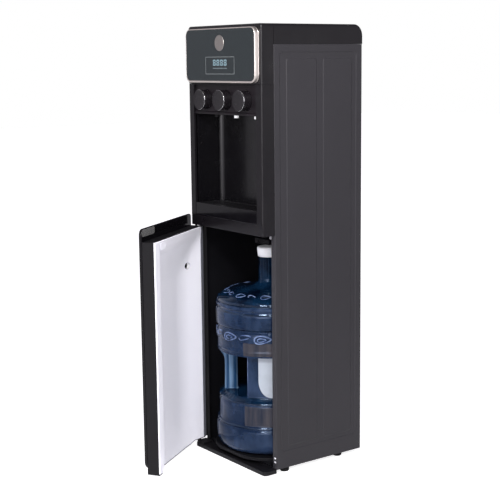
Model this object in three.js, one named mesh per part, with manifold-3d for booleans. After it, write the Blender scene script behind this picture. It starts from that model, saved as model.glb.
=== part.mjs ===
// Bottom load water cooler, door standing open with a bottle inside.
// Millimetres, +Z up, front of the cabinet towards -Y. Cabinet coordinates have x = 0 on the centre line,
// y = 0 on the front plane of the fascia and z = 0 on the floor; the cabinet group moves them so that the
// origin is the centre of the footprint of the whole object.
import * as THREE from 'three';
import { mergeVertices } from 'three/addons/utils/BufferGeometryUtils.js';
import Module from 'manifold-3d';

const wasm = await Module();
wasm.setup();

// ---------------------------------------------------------------- driving dimensions
const OX = 7, OY = -31.9;            // cabinet frame to object frame
const HALF_W = 150;                    // half of the cabinet width
const DEPTH = 306;                     // fascia front plane to rear edge of the side panels
const SEAM = 36;                       // front strip meets the steel body here
const PANEL_T = 3;                     // side panel with its pressed relief
const PANEL_Z0 = 11, COVER_Z0 = 1028, TOP = 1075;
const HEAD_Z0 = 937;                   // head piece above this, fascia below
const FASCIA_Z0 = 585;                 // underside of the fascia, top of the bottle compartment
const WIN = 128;                       // half width of the opening in the fascia
const TRAY_Z0 = 611.2, TRAY_Z1 = 643.5;
const CAV_X = 121.7, CAV_Y = 79, CAV_R = 15, CAV_Z0 = 611.2, CAV_Z1 = 865.5;
const TAP_X = [-81, 0, 81], TAP_Z = 899, TAP_R = 24, TAP_FACE = -17.2, TAP_TRAVEL = 6;
const NOZZLE_Y = 37;
const GLASS = { x: 142.2, z0: 940, z1: 1068, y0: -12, y1: -1, r: 18 };
const DOOR_PIVOT = [-142, 9.7];
const DOOR_OPEN = 56.1;                // degrees the door stands open
const DOOR = { x: 149, y0: -15, y1: 26.4, skin: -7, z0: 32, z1: 610.6, body0: 39, body1: 580.5 };
const BOTTLE_Y = 130.2, BOTTLE_Z = 28.7;
const GRIP_DIR = Math.atan2(-0.806, -0.592);
const GAP = 0.3;

// ---------------------------------------------------------------- solids
function solid(geo) {
  let g = geo.index ? geo.toNonIndexed() : geo;
  g = g.clone();
  for (const k of Object.keys(g.attributes)) if (k !== 'position') g.deleteAttribute(k);
  g = mergeVertices(g, 1e-4);
  const p = g.attributes.position.array, t = Array.from(g.index.array), tri = [];
  for (let i = 0; i < t.length; i += 3) {
    if (t[i] !== t[i + 1] && t[i + 1] !== t[i + 2] && t[i] !== t[i + 2]) tri.push(t[i], t[i + 1], t[i + 2]);
  }
  let vol = 0;
  for (let i = 0; i < tri.length; i += 3) {
    const [a, b, c] = [tri[i] * 3, tri[i + 1] * 3, tri[i + 2] * 3];
    vol += p[a] * (p[b + 1] * p[c + 2] - p[b + 2] * p[c + 1]) - p[a + 1] * (p[b] * p[c + 2] - p[b + 2] * p[c])
      + p[a + 2] * (p[b] * p[c + 1] - p[b + 1] * p[c]);
  }
  if (vol < 0) for (let i = 0; i < tri.length; i += 3) [tri[i + 1], tri[i + 2]] = [tri[i + 2], tri[i + 1]];
  return new wasm.Manifold(new wasm.Mesh({ numProp: 3, vertProperties: new Float32Array(p), triVerts: new Uint32Array(tri) }));
}
const cut = (a, ...bs) => bs.reduce((s, b) => s.subtract(b), a);
const join = (a, ...bs) => bs.reduce((s, b) => s.add(b), a);
const both = (a, b) => a.intersect(b);

function extrude(pts, depth) {
  const s = new THREE.Shape(pts.map(([u, v]) => new THREE.Vector2(u, v)));
  return new THREE.ExtrudeGeometry(s, { depth, bevelEnabled: false, steps: 1 });
}
// outline in (x, y), from z0 to z1
function prismZ(pts, z0, z1) { const g = extrude(pts, z1 - z0); g.translate(0, 0, z0); return solid(g); }
// outline in (y, z), from x0 to x1
function prismX(pts, x0, x1) {
  const g = extrude(pts, x1 - x0);
  g.applyMatrix4(new THREE.Matrix4().set(0, 0, 1, x0, 1, 0, 0, 0, 0, 1, 0, 0, 0, 0, 0, 1));
  return solid(g);
}
// outline in (x, z), from y0 to y1
function prismY(pts, y0, y1) {
  const g = extrude(pts.map(([x, z]) => [z, x]), y1 - y0);
  g.applyMatrix4(new THREE.Matrix4().set(0, 1, 0, 0, 0, 0, 1, y0, 1, 0, 0, 0, 0, 0, 0, 1));
  return solid(g);
}
function box(x0, x1, y0, y1, z0, z1) {
  const g = new THREE.BoxGeometry(x1 - x0, y1 - y0, z1 - z0);
  g.translate((x0 + x1) / 2, (y0 + y1) / 2, (z0 + z1) / 2);
  return solid(g);
}
// rounded rectangle; radii in the order (u0,v0) (u1,v0) (u1,v1) (u0,v1)
function rrect(u0, u1, v0, v1, r, n = 3) {
  const rr = Array.isArray(r) ? r : [r, r, r, r], out = [];
  const c = [[u0, v0, 1, 1, Math.PI], [u1, v0, -1, 1, 1.5 * Math.PI], [u1, v1, -1, -1, 0], [u0, v1, 1, -1, 0.5 * Math.PI]];
  c.forEach(([u, v, su, sv, a0], i) => {
    const R = rr[i];
    if (R < 0.01) { out.push([u, v]); return; }
    for (let k = 0; k <= n; k++) {
      const a = a0 + (k / n) * Math.PI / 2;
      out.push([u + su * R + R * Math.cos(a), v + sv * R + R * Math.sin(a)]);
    }
  });
  return out;
}
function circle(cu, cv, r, n = 24, a0 = 0) {
  return Array.from({ length: n }, (_, i) => [cu + r * Math.cos(a0 + i * 2 * Math.PI / n), cv + r * Math.sin(a0 + i * 2 * Math.PI / n)]);
}
const cylZ = (x, y, r, z0, z1, n = 24) => prismZ(circle(x, y, r, n, Math.PI / n), z0, z1);
const cylY = (x, z, r, y0, y1, n = 24) => prismY(circle(x, z, r, n, Math.PI / n), y0, y1);
const cylX = (y, z, r, x0, x1, n = 24) => prismX(circle(y, z, r, n, Math.PI / n), x0, x1);
// profile of [radius, height], about a vertical axis at (x, y)
function lathe(profile, n, x = 0, y = 0) {
  const g = new THREE.LatheGeometry(profile.map(([r, z]) => new THREE.Vector2(r, z)), n);
  g.rotateX(Math.PI / 2);
  g.translate(x, y, 0);
  return solid(g);
}
// profile of [radius, y], about an axis along y at (x, z)
function latheY(profile, n, x, z) {
  const g = new THREE.LatheGeometry(profile.map(([r, h]) => new THREE.Vector2(r, h)), n);
  g.translate(x, 0, z);
  return solid(g);
}
function sweep(points, r, steps, sides = 8) {
  const path = new THREE.CatmullRomCurve3(points.map((p) => new THREE.Vector3(...p)), false, 'centripetal');
  const s = new THREE.Shape(circle(0, 0, r, sides).map(([u, v]) => new THREE.Vector2(u, v)));
  return solid(new THREE.ExtrudeGeometry(s, { steps, bevelEnabled: false, extrudePath: path }));
}

// ---------------------------------------------------------------- scene graph
const cooler = new THREE.Group();
const cabinet = new THREE.Group();
cabinet.position.set(OX, OY, 0);
cooler.add(cabinet);

const doorHinge = new THREE.Group();
doorHinge.position.set(DOOR_PIVOT[0], DOOR_PIVOT[1], 0);
doorHinge.rotation.z = -DOOR_OPEN * Math.PI / 180;
const door = new THREE.Group();
door.position.set(-DOOR_PIVOT[0], -DOOR_PIVOT[1], 0);
doorHinge.add(door);
cabinet.add(doorHinge);

const MAT = {
  steel: { color: 0x2c2a2d, roughness: 0.45, metalness: 0.25 },
  black: { color: 0x17161a, roughness: 0.35, metalness: 0 },
  gloss: { color: 0x0e0d11, roughness: 0.15, metalness: 0 },
  zinc: { color: 0xa6a8aa, roughness: 0.4, metalness: 0.9 },
  chrome: { color: 0xd8d8dc, roughness: 0.1, metalness: 1 },
  champagne: { color: 0xcdb9a6, roughness: 0.28, metalness: 1 },
  glass: { color: 0x26363a, roughness: 0.08, metalness: 0 },
  white: { color: 0xe9e9ee, roughness: 0.45, metalness: 0 },
  liner: { color: 0xcfd0de, roughness: 0.5, metalness: 0 },
  rubber: { color: 0x101012, roughness: 0.85, metalness: 0 },
  felt: { color: 0x6b6a68, roughness: 0.95, metalness: 0 },
  blue: { color: 0x2f62b4, roughness: 0.12, metalness: 0 },
  foam: { color: 0xe8e2c8, roughness: 0.9, metalness: 0 },
  copper: { color: 0xb4693c, roughness: 0.35, metalness: 1 },
  green: { color: 0x2b6b45, roughness: 0.6, metalness: 0 },
};
function add(parent, name, s, mat) {
  const m = s.getMesh(), pos = new Float32Array(m.numVert * 3);
  for (let i = 0; i < m.numVert; i++) for (let k = 0; k < 3; k++) pos[3 * i + k] = m.vertProperties[i * m.numProp + k];
  const g = new THREE.BufferGeometry();
  g.setAttribute('position', new THREE.BufferAttribute(pos, 3));
  g.setIndex(Array.from(m.triVerts));
  const mesh = new THREE.Mesh(g, new THREE.MeshStandardMaterial(MAT[mat]));
  mesh.name = name;
  parent.add(mesh);
  return mesh;
}
const SIDES = [['left', -1], ['right', 1]];
const mx = (s, a, b) => (s > 0 ? [a, b] : [-b, -a]);   // x range on one side

// ---------------------------------------------------------------- base
// sill: moulded front edge of the base, hollow underneath
add(cabinet, 'base_sill', cut(
  prismZ(rrect(-HALF_W, HALF_W, 0, SEAM, [10, 10, 0, 0], 4), 2.2, 12),
  box(-HALF_W + 3, HALF_W - 3, 4, SEAM + 1, 1, 9)), 'black');
// base pan: folded steel, carries the platform, the feet and the side panels
add(cabinet, 'base_pan', join(
  box(-146.6, 146.6, 38.3, 302.6, 11.3, 13.7),
  box(-135, 135, SEAM + GAP, 38.6, 2.6, 13.7)), 'zinc');
// four moulded feet
[['front_left', -137, 70], ['front_right', 137, 70], ['rear_left', -130, 245], ['rear_right', 130, 245]].forEach(([n, x, y]) => {
  add(cabinet, `foot_${n}`, lathe([[0, 0], [9.5, 0], [11.5, 2], [11.5, 8], [8, 11], [0, 11]], 16, x, y), 'rubber');
});
// platform: the bottle stands in its shallow seat
add(cabinet, 'bottle_platform', cut(
  join(prismZ(rrect(-128, 128, 6, 292, [92, 92, 24, 24], 8), 20, 28.4),
    box(-122, 122, 39, 280, 14, 20.5)),
  prismZ(circle(0, BOTTLE_Y, 101, 40), 26, 30)), 'black');

// ---------------------------------------------------------------- steel body
SIDES.forEach(([n, s]) => {
  const [a, b] = mx(s, HALF_W - PANEL_T, HALF_W);
  const [oa, ob] = mx(s, HALF_W - 1.2, HALF_W + 1);
  const [ra, rb] = mx(s, HALF_W - 1.6, HALF_W);
  const [fa, fb] = mx(s, 135.5, HALF_W);
  const [ga, gb] = mx(s, 138, HALF_W);
  // skin with a shallow pressed field and two raised fields standing in it
  let p = prismX([[SEAM + GAP, PANEL_Z0], [DEPTH, PANEL_Z0], [DEPTH, COVER_Z0 - GAP], [SEAM + GAP, COVER_Z0 - GAP]], a, b);
  p = cut(p, prismX(rrect(52, 289, 52, 1011, 9, 3), oa, ob));
  p = join(p, prismX(rrect(72, 165, 64, 996, 7, 3), ra, rb), prismX(rrect(183, 274, 64, 996, 7, 3), ra, rb));
  // folded front and rear flanges
  p = join(p, box(fa, fb, SEAM + GAP, SEAM + 1.8, PANEL_Z0, COVER_Z0 - GAP),
    box(ga, gb, DEPTH - 1.5, DEPTH, PANEL_Z0, COVER_Z0 - GAP));
  add(cabinet, `side_panel_${n}`, p, 'steel');
});
// two screws in the foot of the right front flange
[['upper', 39.5], ['lower', 29.4]].forEach(([l, z]) => {
  const g = latheY([[0, SEAM], [2.4, SEAM], [3.6, SEAM - 0.6], [3.4, SEAM - 1.5], [2, SEAM - 2.1], [0, SEAM - 2.1]], 10, 145, z);
  add(cabinet, `flange_screw_${l}`, g, 'chrome');
});
// back panel: lower plate flush with the rear edge, upper plate set in to make room for the condenser
{
  let p = join(box(-146.6, 146.6, 303, 304.2, PANEL_Z0 + GAP, 600), box(-146.6, 146.6, 286, 304.2, 598.8, 600),
    box(-146.6, 146.6, 286, 287.2, 598.8, COVER_Z0 - GAP));
  for (let i = 0; i < 5; i++) p = cut(p, prismY(rrect(-60, 60, 90 + i * 16, 96 + i * 16, 3, 2), 300, 306));
  p = cut(p, prismY(rrect(-115.5, -84.5, 990, 1012, 2, 1), 280, 290), prismY(rrect(-75.5, -44.5, 990, 1012, 2, 1), 280, 290));
  p = cut(p, cylY(-100, 640, 8.4, 280, 290, 12), cylY(30, 625, 9.4, 280, 290, 12));
  add(cabinet, 'back_panel', p, 'steel');
}
// shelf that carries the cooling and heating parts above the bottle
add(cabinet, 'mid_shelf', cut(box(-146.6, 146.6, 39, 302.6, 588.3, 590.3), cylZ(124, 276, 9, 580, 600, 12)), 'zinc');
// top cover with bevelled edges and a round rear corner
{
  const side = [[SEAM + GAP, COVER_Z0], [307, COVER_Z0], [307, TOP - 20]];
  for (let k = 1; k <= 5; k++) side.push([287 + 20 * Math.cos(k * Math.PI / 10), TOP - 20 + 20 * Math.sin(k * Math.PI / 10)]);
  side.push([SEAM + GAP, TOP]);
  const front = [[-HALF_W, COVER_Z0], [HALF_W, COVER_Z0], [HALF_W, TOP - 9], [HALF_W - 3, TOP - 3], [HALF_W - 9, TOP],
    [-HALF_W + 9, TOP], [-HALF_W + 3, TOP - 3], [-HALF_W, TOP - 9]];
  const shell = both(prismX(side, -HALF_W, HALF_W), prismY(front, 0, 320));
  add(cabinet, 'top_cover', cut(shell, box(-HALF_W + 3, HALF_W - 3, SEAM - 1, 303.5, COVER_Z0 - 1, TOP - 12)), 'black');
}

// ---------------------------------------------------------------- head and display
{
  const front = [[-HALF_W, HEAD_Z0], [HALF_W, HEAD_Z0], [HALF_W, TOP - 9], [HALF_W - 3, TOP - 3], [HALF_W - 9, TOP],
    [-HALF_W + 9, TOP], [-HALF_W + 3, TOP - 3], [-HALF_W, TOP - 9]];
  const plan = rrect(-HALF_W, HALF_W, 0, SEAM, [5, 5, 0, 0], 3);
  add(cabinet, 'head_shell', cut(both(prismZ(plan, HEAD_Z0, TOP), prismY(front, -1, 40)),
    box(-HALF_W + 3.5, HALF_W - 3.5, 4, SEAM + 1, HEAD_Z0 + 3, TOP - 12)), 'black');
}
add(cabinet, 'display_trim', cut(
  prismY(rrect(-GLASS.x, GLASS.x, GLASS.z0, GLASS.z1, GLASS.r, 5), GLASS.y0, GLASS.y1 + 0.7),
  prismY(rrect(-GLASS.x + 2.2, GLASS.x - 2.2, GLASS.z0 + 4.3, GLASS.z1 - 2.2, GLASS.r - 3, 5), GLASS.y0 - 1, GLASS.y0 + 3.2),
  box(-58, 65, GLASS.y0 + 2, GLASS.y0 + 8, 958, 1003)), 'champagne');
add(cabinet, 'display_glass',
  prismY(rrect(-GLASS.x + 2.5, GLASS.x - 2.5, GLASS.z0 + 4.6, GLASS.z1 - 2.5, GLASS.r - 3.3, 5), GLASS.y0 - 0.3, GLASS.y0 + 2.9), 'glass');
add(cabinet, 'display_module', box(-57, 64, GLASS.y0 + 3.3, GLASS.y0 + 7.6, 959, 1002), 'green');
add(cabinet, 'roundel', latheY([[0, GLASS.y0 - 1.4], [17.3, GLASS.y0 - 1.4], [18.6, GLASS.y0 - 0.9], [18.6, GLASS.y0 - 0.6], [0, GLASS.y0 - 0.6]], 28, 3, 1033), 'champagne');

// ---------------------------------------------------------------- fascia, taps and dispensing recess
add(cabinet, 'fascia_frame', cut(
  prismZ(rrect(-HALF_W, HALF_W, 0, SEAM, [5, 5, 0, 0], 3), FASCIA_Z0, HEAD_Z0 - GAP),
  box(-HALF_W + 3.5, HALF_W - 3.5, 6, SEAM + 1, FASCIA_Z0 + 3, HEAD_Z0 - 1.8),
  box(-WIN, WIN, -1, 7, TRAY_Z0, 935),
  box(-HALF_W - 1, HALF_W + 1, -1, 1.8, FASCIA_Z0 - 1, TRAY_Z0),
  cylZ(DOOR_PIVOT[0], DOOR_PIVOT[1], 3.4, FASCIA_Z0 - 1, FASCIA_Z0 + 4, 12)), 'black');
{
  let p = join(box(-WIN + GAP, WIN - GAP, 6.3, 9.2, 863.6, 934.7),
    prismX([[3, 865], [4, 863.6], [9.2, 863.6], [9.2, 871.4], [6.3, 871.4], [3, 868]], -WIN + GAP, WIN - GAP));
  TAP_X.forEach((x) => { p = cut(p, cylY(x, TAP_Z, TAP_R + 0.2, 0, 20, 28)); });
  add(cabinet, 'tap_panel', p, 'black');
}
{
  const outer = prismZ(rrect(-CAV_X - 2.5, CAV_X + 2.5, 6.3, CAV_Y + 2.5, [0, 0, CAV_R + 2.5, CAV_R + 2.5], 4), 608.7, 868);
  const inner = prismZ(rrect(-CAV_X, CAV_X, 0, CAV_Y, [0, 0, CAV_R, CAV_R], 4), CAV_Z0, CAV_Z1);
  let p = cut(outer, inner, box(-130, 130, 5, 9.5, 863.3, 870));
  TAP_X.forEach((x) => { p = cut(p, cylZ(x, NOZZLE_Y, 7, 860, 870, 16)); });
  add(cabinet, 'cavity_liner', p, 'gloss');
}
TAP_X.forEach((x, i) => {
  const n = ['left', 'middle', 'right'][i];
  // push knob: a plain round body with a bright band let in round its side, just behind the face
  add(cabinet, `tap_knob_${n}`, latheY([[0, TAP_FACE + 0.8], [17, TAP_FACE + 0.5], [23.2, TAP_FACE], [23.6, TAP_FACE + 0.2], [23.6, TAP_FACE + 0.5],
    [22.2, TAP_FACE + 0.5], [22.2, TAP_FACE + 4.2], [23.4, TAP_FACE + 4.2], [23.4, 14], [0, 14]], 28, x, TAP_Z), 'gloss');
  add(cabinet, `tap_ring_${n}`, latheY([[22.5, TAP_FACE + 0.8], [TAP_R - 0.3, TAP_FACE + 0.8], [TAP_R, TAP_FACE + 1.1], [TAP_R, TAP_FACE + 3.9],
    [22.5, TAP_FACE + 3.9], [22.5, TAP_FACE + 0.8]], 28, x, TAP_Z), 'chrome');
  // valve behind the knob with its spout coming down through the ceiling of the recess
  add(cabinet, `tap_valve_${n}`, cut(join(cylY(x, TAP_Z, 15, 14 + TAP_TRAVEL + 0.8, 58, 16), cylZ(x, NOZZLE_Y, 6.5, 855, 890, 16)),
    cylZ(x, NOZZLE_Y, 4.2, 850, 862, 12)), i === 0 ? 'black' : 'white');
});
// drip tray: front bar flush with the fascia and a shallow bowl behind it
add(cabinet, 'drip_tray', cut(
  join(box(-WIN + 0.6, WIN - 0.6, 0.6, 5.6, TRAY_Z0 + 0.6, TRAY_Z1),
    prismZ(rrect(-120.9, 120.9, 5, 77.8, [0, 0, 14, 14], 4), TRAY_Z0 + 0.6, 640.7)),
  prismZ(rrect(-118.6, 118.6, 7.6, 75.6, [2, 2, 12, 12], 3), 614, 650)), 'gloss');
{
  // rear corners are cut off well inside the rounded corners of the recess, so the grille lifts straight out
  let g = prismZ([[-120.4, 6.2], [120.4, 6.2], [120.4, 62.4], [105.4, 77.4], [-105.4, 77.4], [-120.4, 62.4]], 641.1, 643.3);
  for (let i = -6; i <= 6; i++) g = cut(g, box(i * 17 - 5.5, i * 17 + 5.5, 16, 68, 640, 645));
  add(cabinet, 'drip_grille', g, 'black');
}

// ---------------------------------------------------------------- hinge, catch and switch
add(cabinet, 'hinge_bracket_top', join(box(-146, -112, 6.4, 34, FASCIA_Z0 + 3.3, FASCIA_Z0 + 6),
  cylZ(DOOR_PIVOT[0], DOOR_PIVOT[1], 3, 571, FASCIA_Z0 + 4, 12)), 'black');
add(cabinet, 'hinge_bracket_bottom', join(prismZ(rrect(-149.4, -118, 2, 34, [8, 4, 4, 4], 3), 12.3, 16),
  cylZ(DOOR_PIVOT[0], DOOR_PIVOT[1], 3, 15, 52, 12)), 'black');
add(cabinet, 'door_catch', join(box(77, 131, 31.5, 52, 561, 573.5), box(94, 114, 39.4, 50, 573, 588)), 'black');
add(cabinet, 'door_switch', lathe([[0, 576], [1.4, 576], [2.3, 577.3], [2.3, 584.6], [0, 584.6]], 12, 139.5, 31.2), 'white');

// ---------------------------------------------------------------- door, in its closed place
{
  const D = DOOR;
  // outer panel: softened vertical edges, large radius at the lower free corner
  add(door, 'door_panel', both(
    prismZ(rrect(-D.x, D.x, D.y0, D.skin, [3.5, 3.5, 1.2, 1.2], 3), D.z0 - 1, D.z1 + 1),
    prismY(rrect(-D.x, D.x, D.z0, D.z1, [8, 20, 14, 9], 4), D.y0 - 1, D.skin + 1)), 'gloss');
  // frame behind it: wide hinge rail, thin free rail with a tab below, thin top and bottom rails
  const y0 = D.skin + GAP, y1 = D.y1 - 1.8;
  let f = box(-148.7, 148.7, y0, y1, D.body0, D.body1);
  f = cut(f, box(-129.2, 143, y0 - 1, y1 + 1, D.body0 + 3, D.body1 - 5));
  f = cut(f, box(-112, 118, y0 - 1, y1 + 1, D.body0 - 1, D.body0 + 4));
  f = join(f, box(140.5, 148.7, y0, y1, 21.1, 45), box(131, 141, y0, y1, 21.1, 24));
  // the hinge rail gives way to the slope of the liner
  f = cut(f, prismZ([[-142.5, y1 + 1], [-142.5, y1 + 0.1], [-129, y1 - 5.3], [-129, y1 + 1]], 42.4, 546),
    prismZ([[-142.5, y1 + 1], [-142.5, y1 + 0.1], [-111, y1 - 12.6], [-111, y1 + 1]], 20, 42.5));
  f = cut(f, cylZ(DOOR_PIVOT[0], DOOR_PIVOT[1], 3.4, 562, 590, 12), cylZ(DOOR_PIVOT[0], DOOR_PIVOT[1], 3.4, 30, 60, 12));
  add(door, 'door_frame', f, 'black');
  // inner liner: flange all round and a deep belly that clears the bottle, open at the foot
  const t = 1.0, fl = -5.6;
  const belly = (q, z0, z1) => prismZ([[-141 + q, D.y1 - 1.5 + q], [-62 + q * 0.6, fl - t + q], [112 - q, fl - t + q], [117 - q, D.y1 - 1.5 + q]], z0, z1);
  let l = join(box(-148.9, 148.9, D.y1 - 1.5, D.y1, 41.6, D.body1), box(128, 148.9, D.y1 - 1.5, D.y1, 25, 42), belly(0, 22, 545));
  l = cut(l, prismZ([[-138.4, D.y1 + 0.1], [-138.4, D.y1 - 0.2], [-61.4, fl], [111, fl], [116.4, D.y1 - 0.2], [116.4, D.y1 + 0.1]], 10, 543.4));
  // the foot hangs lower where the belly is deep
  l = cut(l, prismY([[-150, 10], [-150, 41.5], [-141, 41.5], [-95, 24], [-95, 10]], -10, 30),
    prismY([[112, 10], [112, 24], [118, 41.5], [127.9, 41.5], [127.9, 10]], -10, 30));
  l = cut(l, prismY(circle(-88.5, 486, 10, 24), -8, 22));
  add(door, 'door_liner', l, 'liner');
  add(door, 'door_bumper_pad', box(80, 147, D.skin + GAP, D.skin + 2.4, 592.5, 609), 'felt');
  add(door, 'door_strike', box(90, 118, D.y1 + GAP, D.y1 + 2.2, 559, 575), 'zinc');
}

// ---------------------------------------------------------------- bottle
{
  const P = [[0, 36], [98, 36], [103, BOTTLE_Z + 1.5], [107, BOTTLE_Z], [114, BOTTLE_Z + 0.4], [123, 33], [130, 42], [133.7, 57], [134.5, 76], [133.9, 90],
    [130.6, 94.6], [131.6, 98], [128.2, 103], [128.8, 128], [128.6, 148], [126.4, 153.4], [127.6, 157.2], [121, 162.6], [113.5, 172], [113.5, 258], [117, 262], [130.6, 277], [130.2, 284], [131.8, 300], [131.8, 330],
    [129.2, 340.5], [134.2, 349], [134.5, 376], [131, 388.4], [132.9, 394], [128.9, 401.4], [130.9, 407], [125.5, 414.4], [110, 421.8], [92, 426.8], [54, 432], [33, 439.4], [25.6, 448], [24.5, 456], [24.5, 508], [0, 508]];
  let b = lathe(P, 36, 0, BOTTLE_Y);
  // grip: recess on one side of the waist with an upright bar standing in front of it
  const c = Math.cos(GRIP_DIR), s = Math.sin(GRIP_DIR);
  const at = (r, t) => [c * r - s * t, BOTTLE_Y + s * r + c * t];
  const quad = (r0, r1, t0, t1) => prismZ([at(r0, t0), at(r1, t0), at(r1, t1), at(r0, t1)], 171, 262);
  b = cut(b, quad(55, 79.8, -140, 140), quad(55, 150, 17, 140), quad(55, 150, -140, -17));
  add(cabinet, 'bottle', b, 'blue');
  add(cabinet, 'bottle_cap', lathe([[0, 508.3], [26.4, 508.3], [28.4, 529.5], [26.8, 531.5], [0, 531.5]], 28, 0, BOTTLE_Y), 'white');
}

// ---------------------------------------------------------------- cooling, heating and plumbing above the shelf
{
  let p = join(lathe([[0, 604], [50, 604], [58, 612], [60, 660], [58, 700], [44, 726], [20, 734], [0, 735]], 20, -58, 190),
    box(-128, 12, 140, 240, 598, 604.5));
  [[-120, 148], [4, 148], [-120, 232], [4, 232]].forEach(([x, y]) => { p = join(p, cylZ(x, y, 6, 590.6, 599, 10)); });
  add(cabinet, 'compressor', p, 'black');
}
add(cabinet, 'cold_tank', join(lathe([[0, 805], [50, 805], [52, 808], [52, 985], [50, 988], [0, 988]], 20, -60, 190),
  cylZ(-60, 190, 12, 778, 806, 12), box(-75, -45, 180, 285.6, 776, 782)), 'zinc');
add(cabinet, 'cold_tank_insulation', lathe([[52.6, 790], [72, 790], [72, 1000], [52.6, 1000], [52.6, 790]], 20, -60, 190), 'foam');
add(cabinet, 'hot_tank', join(box(57, 87, 160, 285.6, 812, 820.5), lathe([[0, 820], [44, 820], [50, 826], [50, 940], [44, 946], [0, 946]], 20, 72, 170), lathe([[0, 946], [6, 946], [6, 962], [0, 962]], 10, 72, 170)), 'zinc');
add(cabinet, 'water_pump', join(cylX(240, 622, 24, 60, 132, 16), box(74, 122, 216, 264, 590.7, 602)), 'black');
add(cabinet, 'control_board_box', box(-90, 90, 4.3, 28, 945, 1015), 'black');
// suction hose and rigid probe, parked in a clip on the back panel
add(cabinet, 'bottle_probe', lathe([[0, 160], [6, 160], [8, 164], [8, 300], [7, 304], [7, 540], [4.5, 544], [4.5, 556], [0, 556]], 12, 124, 276), 'white');
add(cabinet, 'probe_clip', cut(box(110, 138, 264, 302.7, 470, 488), cylZ(124, 276, 8.4, 460, 495, 12), box(118.5, 129.5, 260, 270, 460, 495)), 'black');
add(cabinet, 'suction_hose', sweep([[124, 276, 556.5], [124, 276, 575], [124, 276, 600], [123, 276, 635], [116, 272, 660], [102, 256, 670], [96, 243, 662], [96, 240, 648]], 4.5, 18, 8), 'white');
// condenser: serpentine tube in a pair of side straps behind the upper back plate
{
  const pts = [];
  const x = 112, y = 295.6, z0 = 700, n = 7, p = 40;
  for (let i = 0; i < n; i++) {
    const s = i % 2 ? 1 : -1, z = z0 + i * p;
    pts.push([s * x, y, z], [0, y, z], [-s * x, y, z]);
    if (i < n - 1) pts.push([-s * (x + 14), y, z + p * 0.25], [-s * (x + 14), y, z + p * 0.75]);
  }
  const tube = sweep(pts, 2.4, 78, 6);
  const strap = (a) => box(a - 4, a + 4, 293.4, 297.8, 692, 948);
  const leg = (a, z) => box(a - 3, a + 3, 287.5, 294, z - 3, z + 3);
  add(cabinet, 'condenser', join(tube, strap(-78), strap(78), leg(-78, 720), leg(78, 720), leg(-78, 930), leg(78, 930)), 'black');
}
// rear rocker switches, inlet gland and drain plug
{
  let p = join(box(-117.5, -42.5, 287.5, 289.8, 987.5, 1014.5), prismY(rrect(-115, -85, 990.4, 1011.6, 2, 1), 276, 288),
    prismY(rrect(-75, -45, 990.4, 1011.6, 2, 1), 276, 288));
  [['hot', -100], ['cold', -60]].forEach(([n, x]) => {
    p = cut(p, box(x - 11.6, x + 11.6, 277.5, 292, 993.4, 1008.6));
    add(cabinet, `rocker_${n}`, prismX([[281, 995], [289.2, 994.6], [291.6, 996.2], [290, 1001], [288.6, 1007.4], [281, 1007]], x - 11.2, x + 11.2), 'gloss');
  });
  add(cabinet, 'rocker_bezel', p, 'black');
}
add(cabinet, 'cord_inlet_gland', latheY([[3.6, 276], [8, 276], [8, 287.5], [11, 287.6], [11, 290], [7.5, 293], [5.6, 303], [3.6, 303], [3.6, 276]], 14, -100, 640), 'rubber');
add(cabinet, 'drain_spout', latheY([[4, 262], [9, 262], [9, 288], [4, 288], [4, 262]], 14, 30, 625), 'white');
add(cabinet, 'drain_plug', latheY([[0, 276], [3.6, 276], [3.6, 288.4], [11.5, 288.4], [11.5, 301], [10, 302.5], [0, 302.5]], 14, 30, 625), 'black');

export default cooler;
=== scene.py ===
import bpy, bmesh, math
from mathutils import Vector, Matrix


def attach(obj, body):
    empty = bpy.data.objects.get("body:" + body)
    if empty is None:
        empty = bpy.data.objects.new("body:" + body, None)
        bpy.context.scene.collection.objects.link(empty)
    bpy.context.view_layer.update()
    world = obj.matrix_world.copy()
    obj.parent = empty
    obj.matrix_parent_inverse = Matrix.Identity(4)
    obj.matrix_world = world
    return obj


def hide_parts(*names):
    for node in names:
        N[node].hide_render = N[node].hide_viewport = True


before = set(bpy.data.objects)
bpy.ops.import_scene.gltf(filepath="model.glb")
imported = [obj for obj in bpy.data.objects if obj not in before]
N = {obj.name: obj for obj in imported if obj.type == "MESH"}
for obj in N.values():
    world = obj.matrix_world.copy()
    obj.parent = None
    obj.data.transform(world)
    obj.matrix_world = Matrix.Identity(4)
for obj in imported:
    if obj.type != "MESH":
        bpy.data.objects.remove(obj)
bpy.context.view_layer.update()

# ------------------------------------------------------------------ camera
cam_data = bpy.data.cameras.new("camera")
cam_data.sensor_width = 36.0
cam_data.lens = 1162.81 / 500 * 36.0
cam_data.clip_start, cam_data.clip_end = 0.05, 60
cam = bpy.data.objects.new("camera", cam_data)
bpy.context.scene.collection.objects.link(cam)
_y, _p, _r = math.radians(53.71234127), math.radians(9.261043), math.radians(-0.631111)
_f = Vector((-math.sin(_y) * math.cos(_p), math.cos(_y) * math.cos(_p), -math.sin(_p)))
_rt = Vector((math.cos(_y), math.sin(_y), 0))
_up = _rt.cross(_f)
_r2 = _rt * math.cos(_r) + _up * math.sin(_r)
_u2 = _up * math.cos(_r) - _rt * math.sin(_r)
cam.matrix_world = Matrix(((_r2.x, _u2.x, -_f.x, 2.294235), (_r2.y, _u2.y, -_f.y, -1.638089),
                           (_r2.z, _u2.z, -_f.z, 0.991771), (0, 0, 0, 1)))
bpy.context.scene.camera = cam

# ------------------------------------------------------------------ places, in millimetres
OX, OY = 7.0, -31.9
PX, PY, SWING = -142.0, 9.7, math.radians(56.1)
_c, _s = math.cos(SWING), math.sin(SWING)


def CAB(p):
    return ((p[0] + OX) / 1000, (p[1] + OY) / 1000, p[2] / 1000)


def DOOR(p):
    dx, dy = p[0] - PX, p[1] - PY
    return CAB((PX + _c * dx + _s * dy, PY - _s * dx + _c * dy, p[2]))


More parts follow.
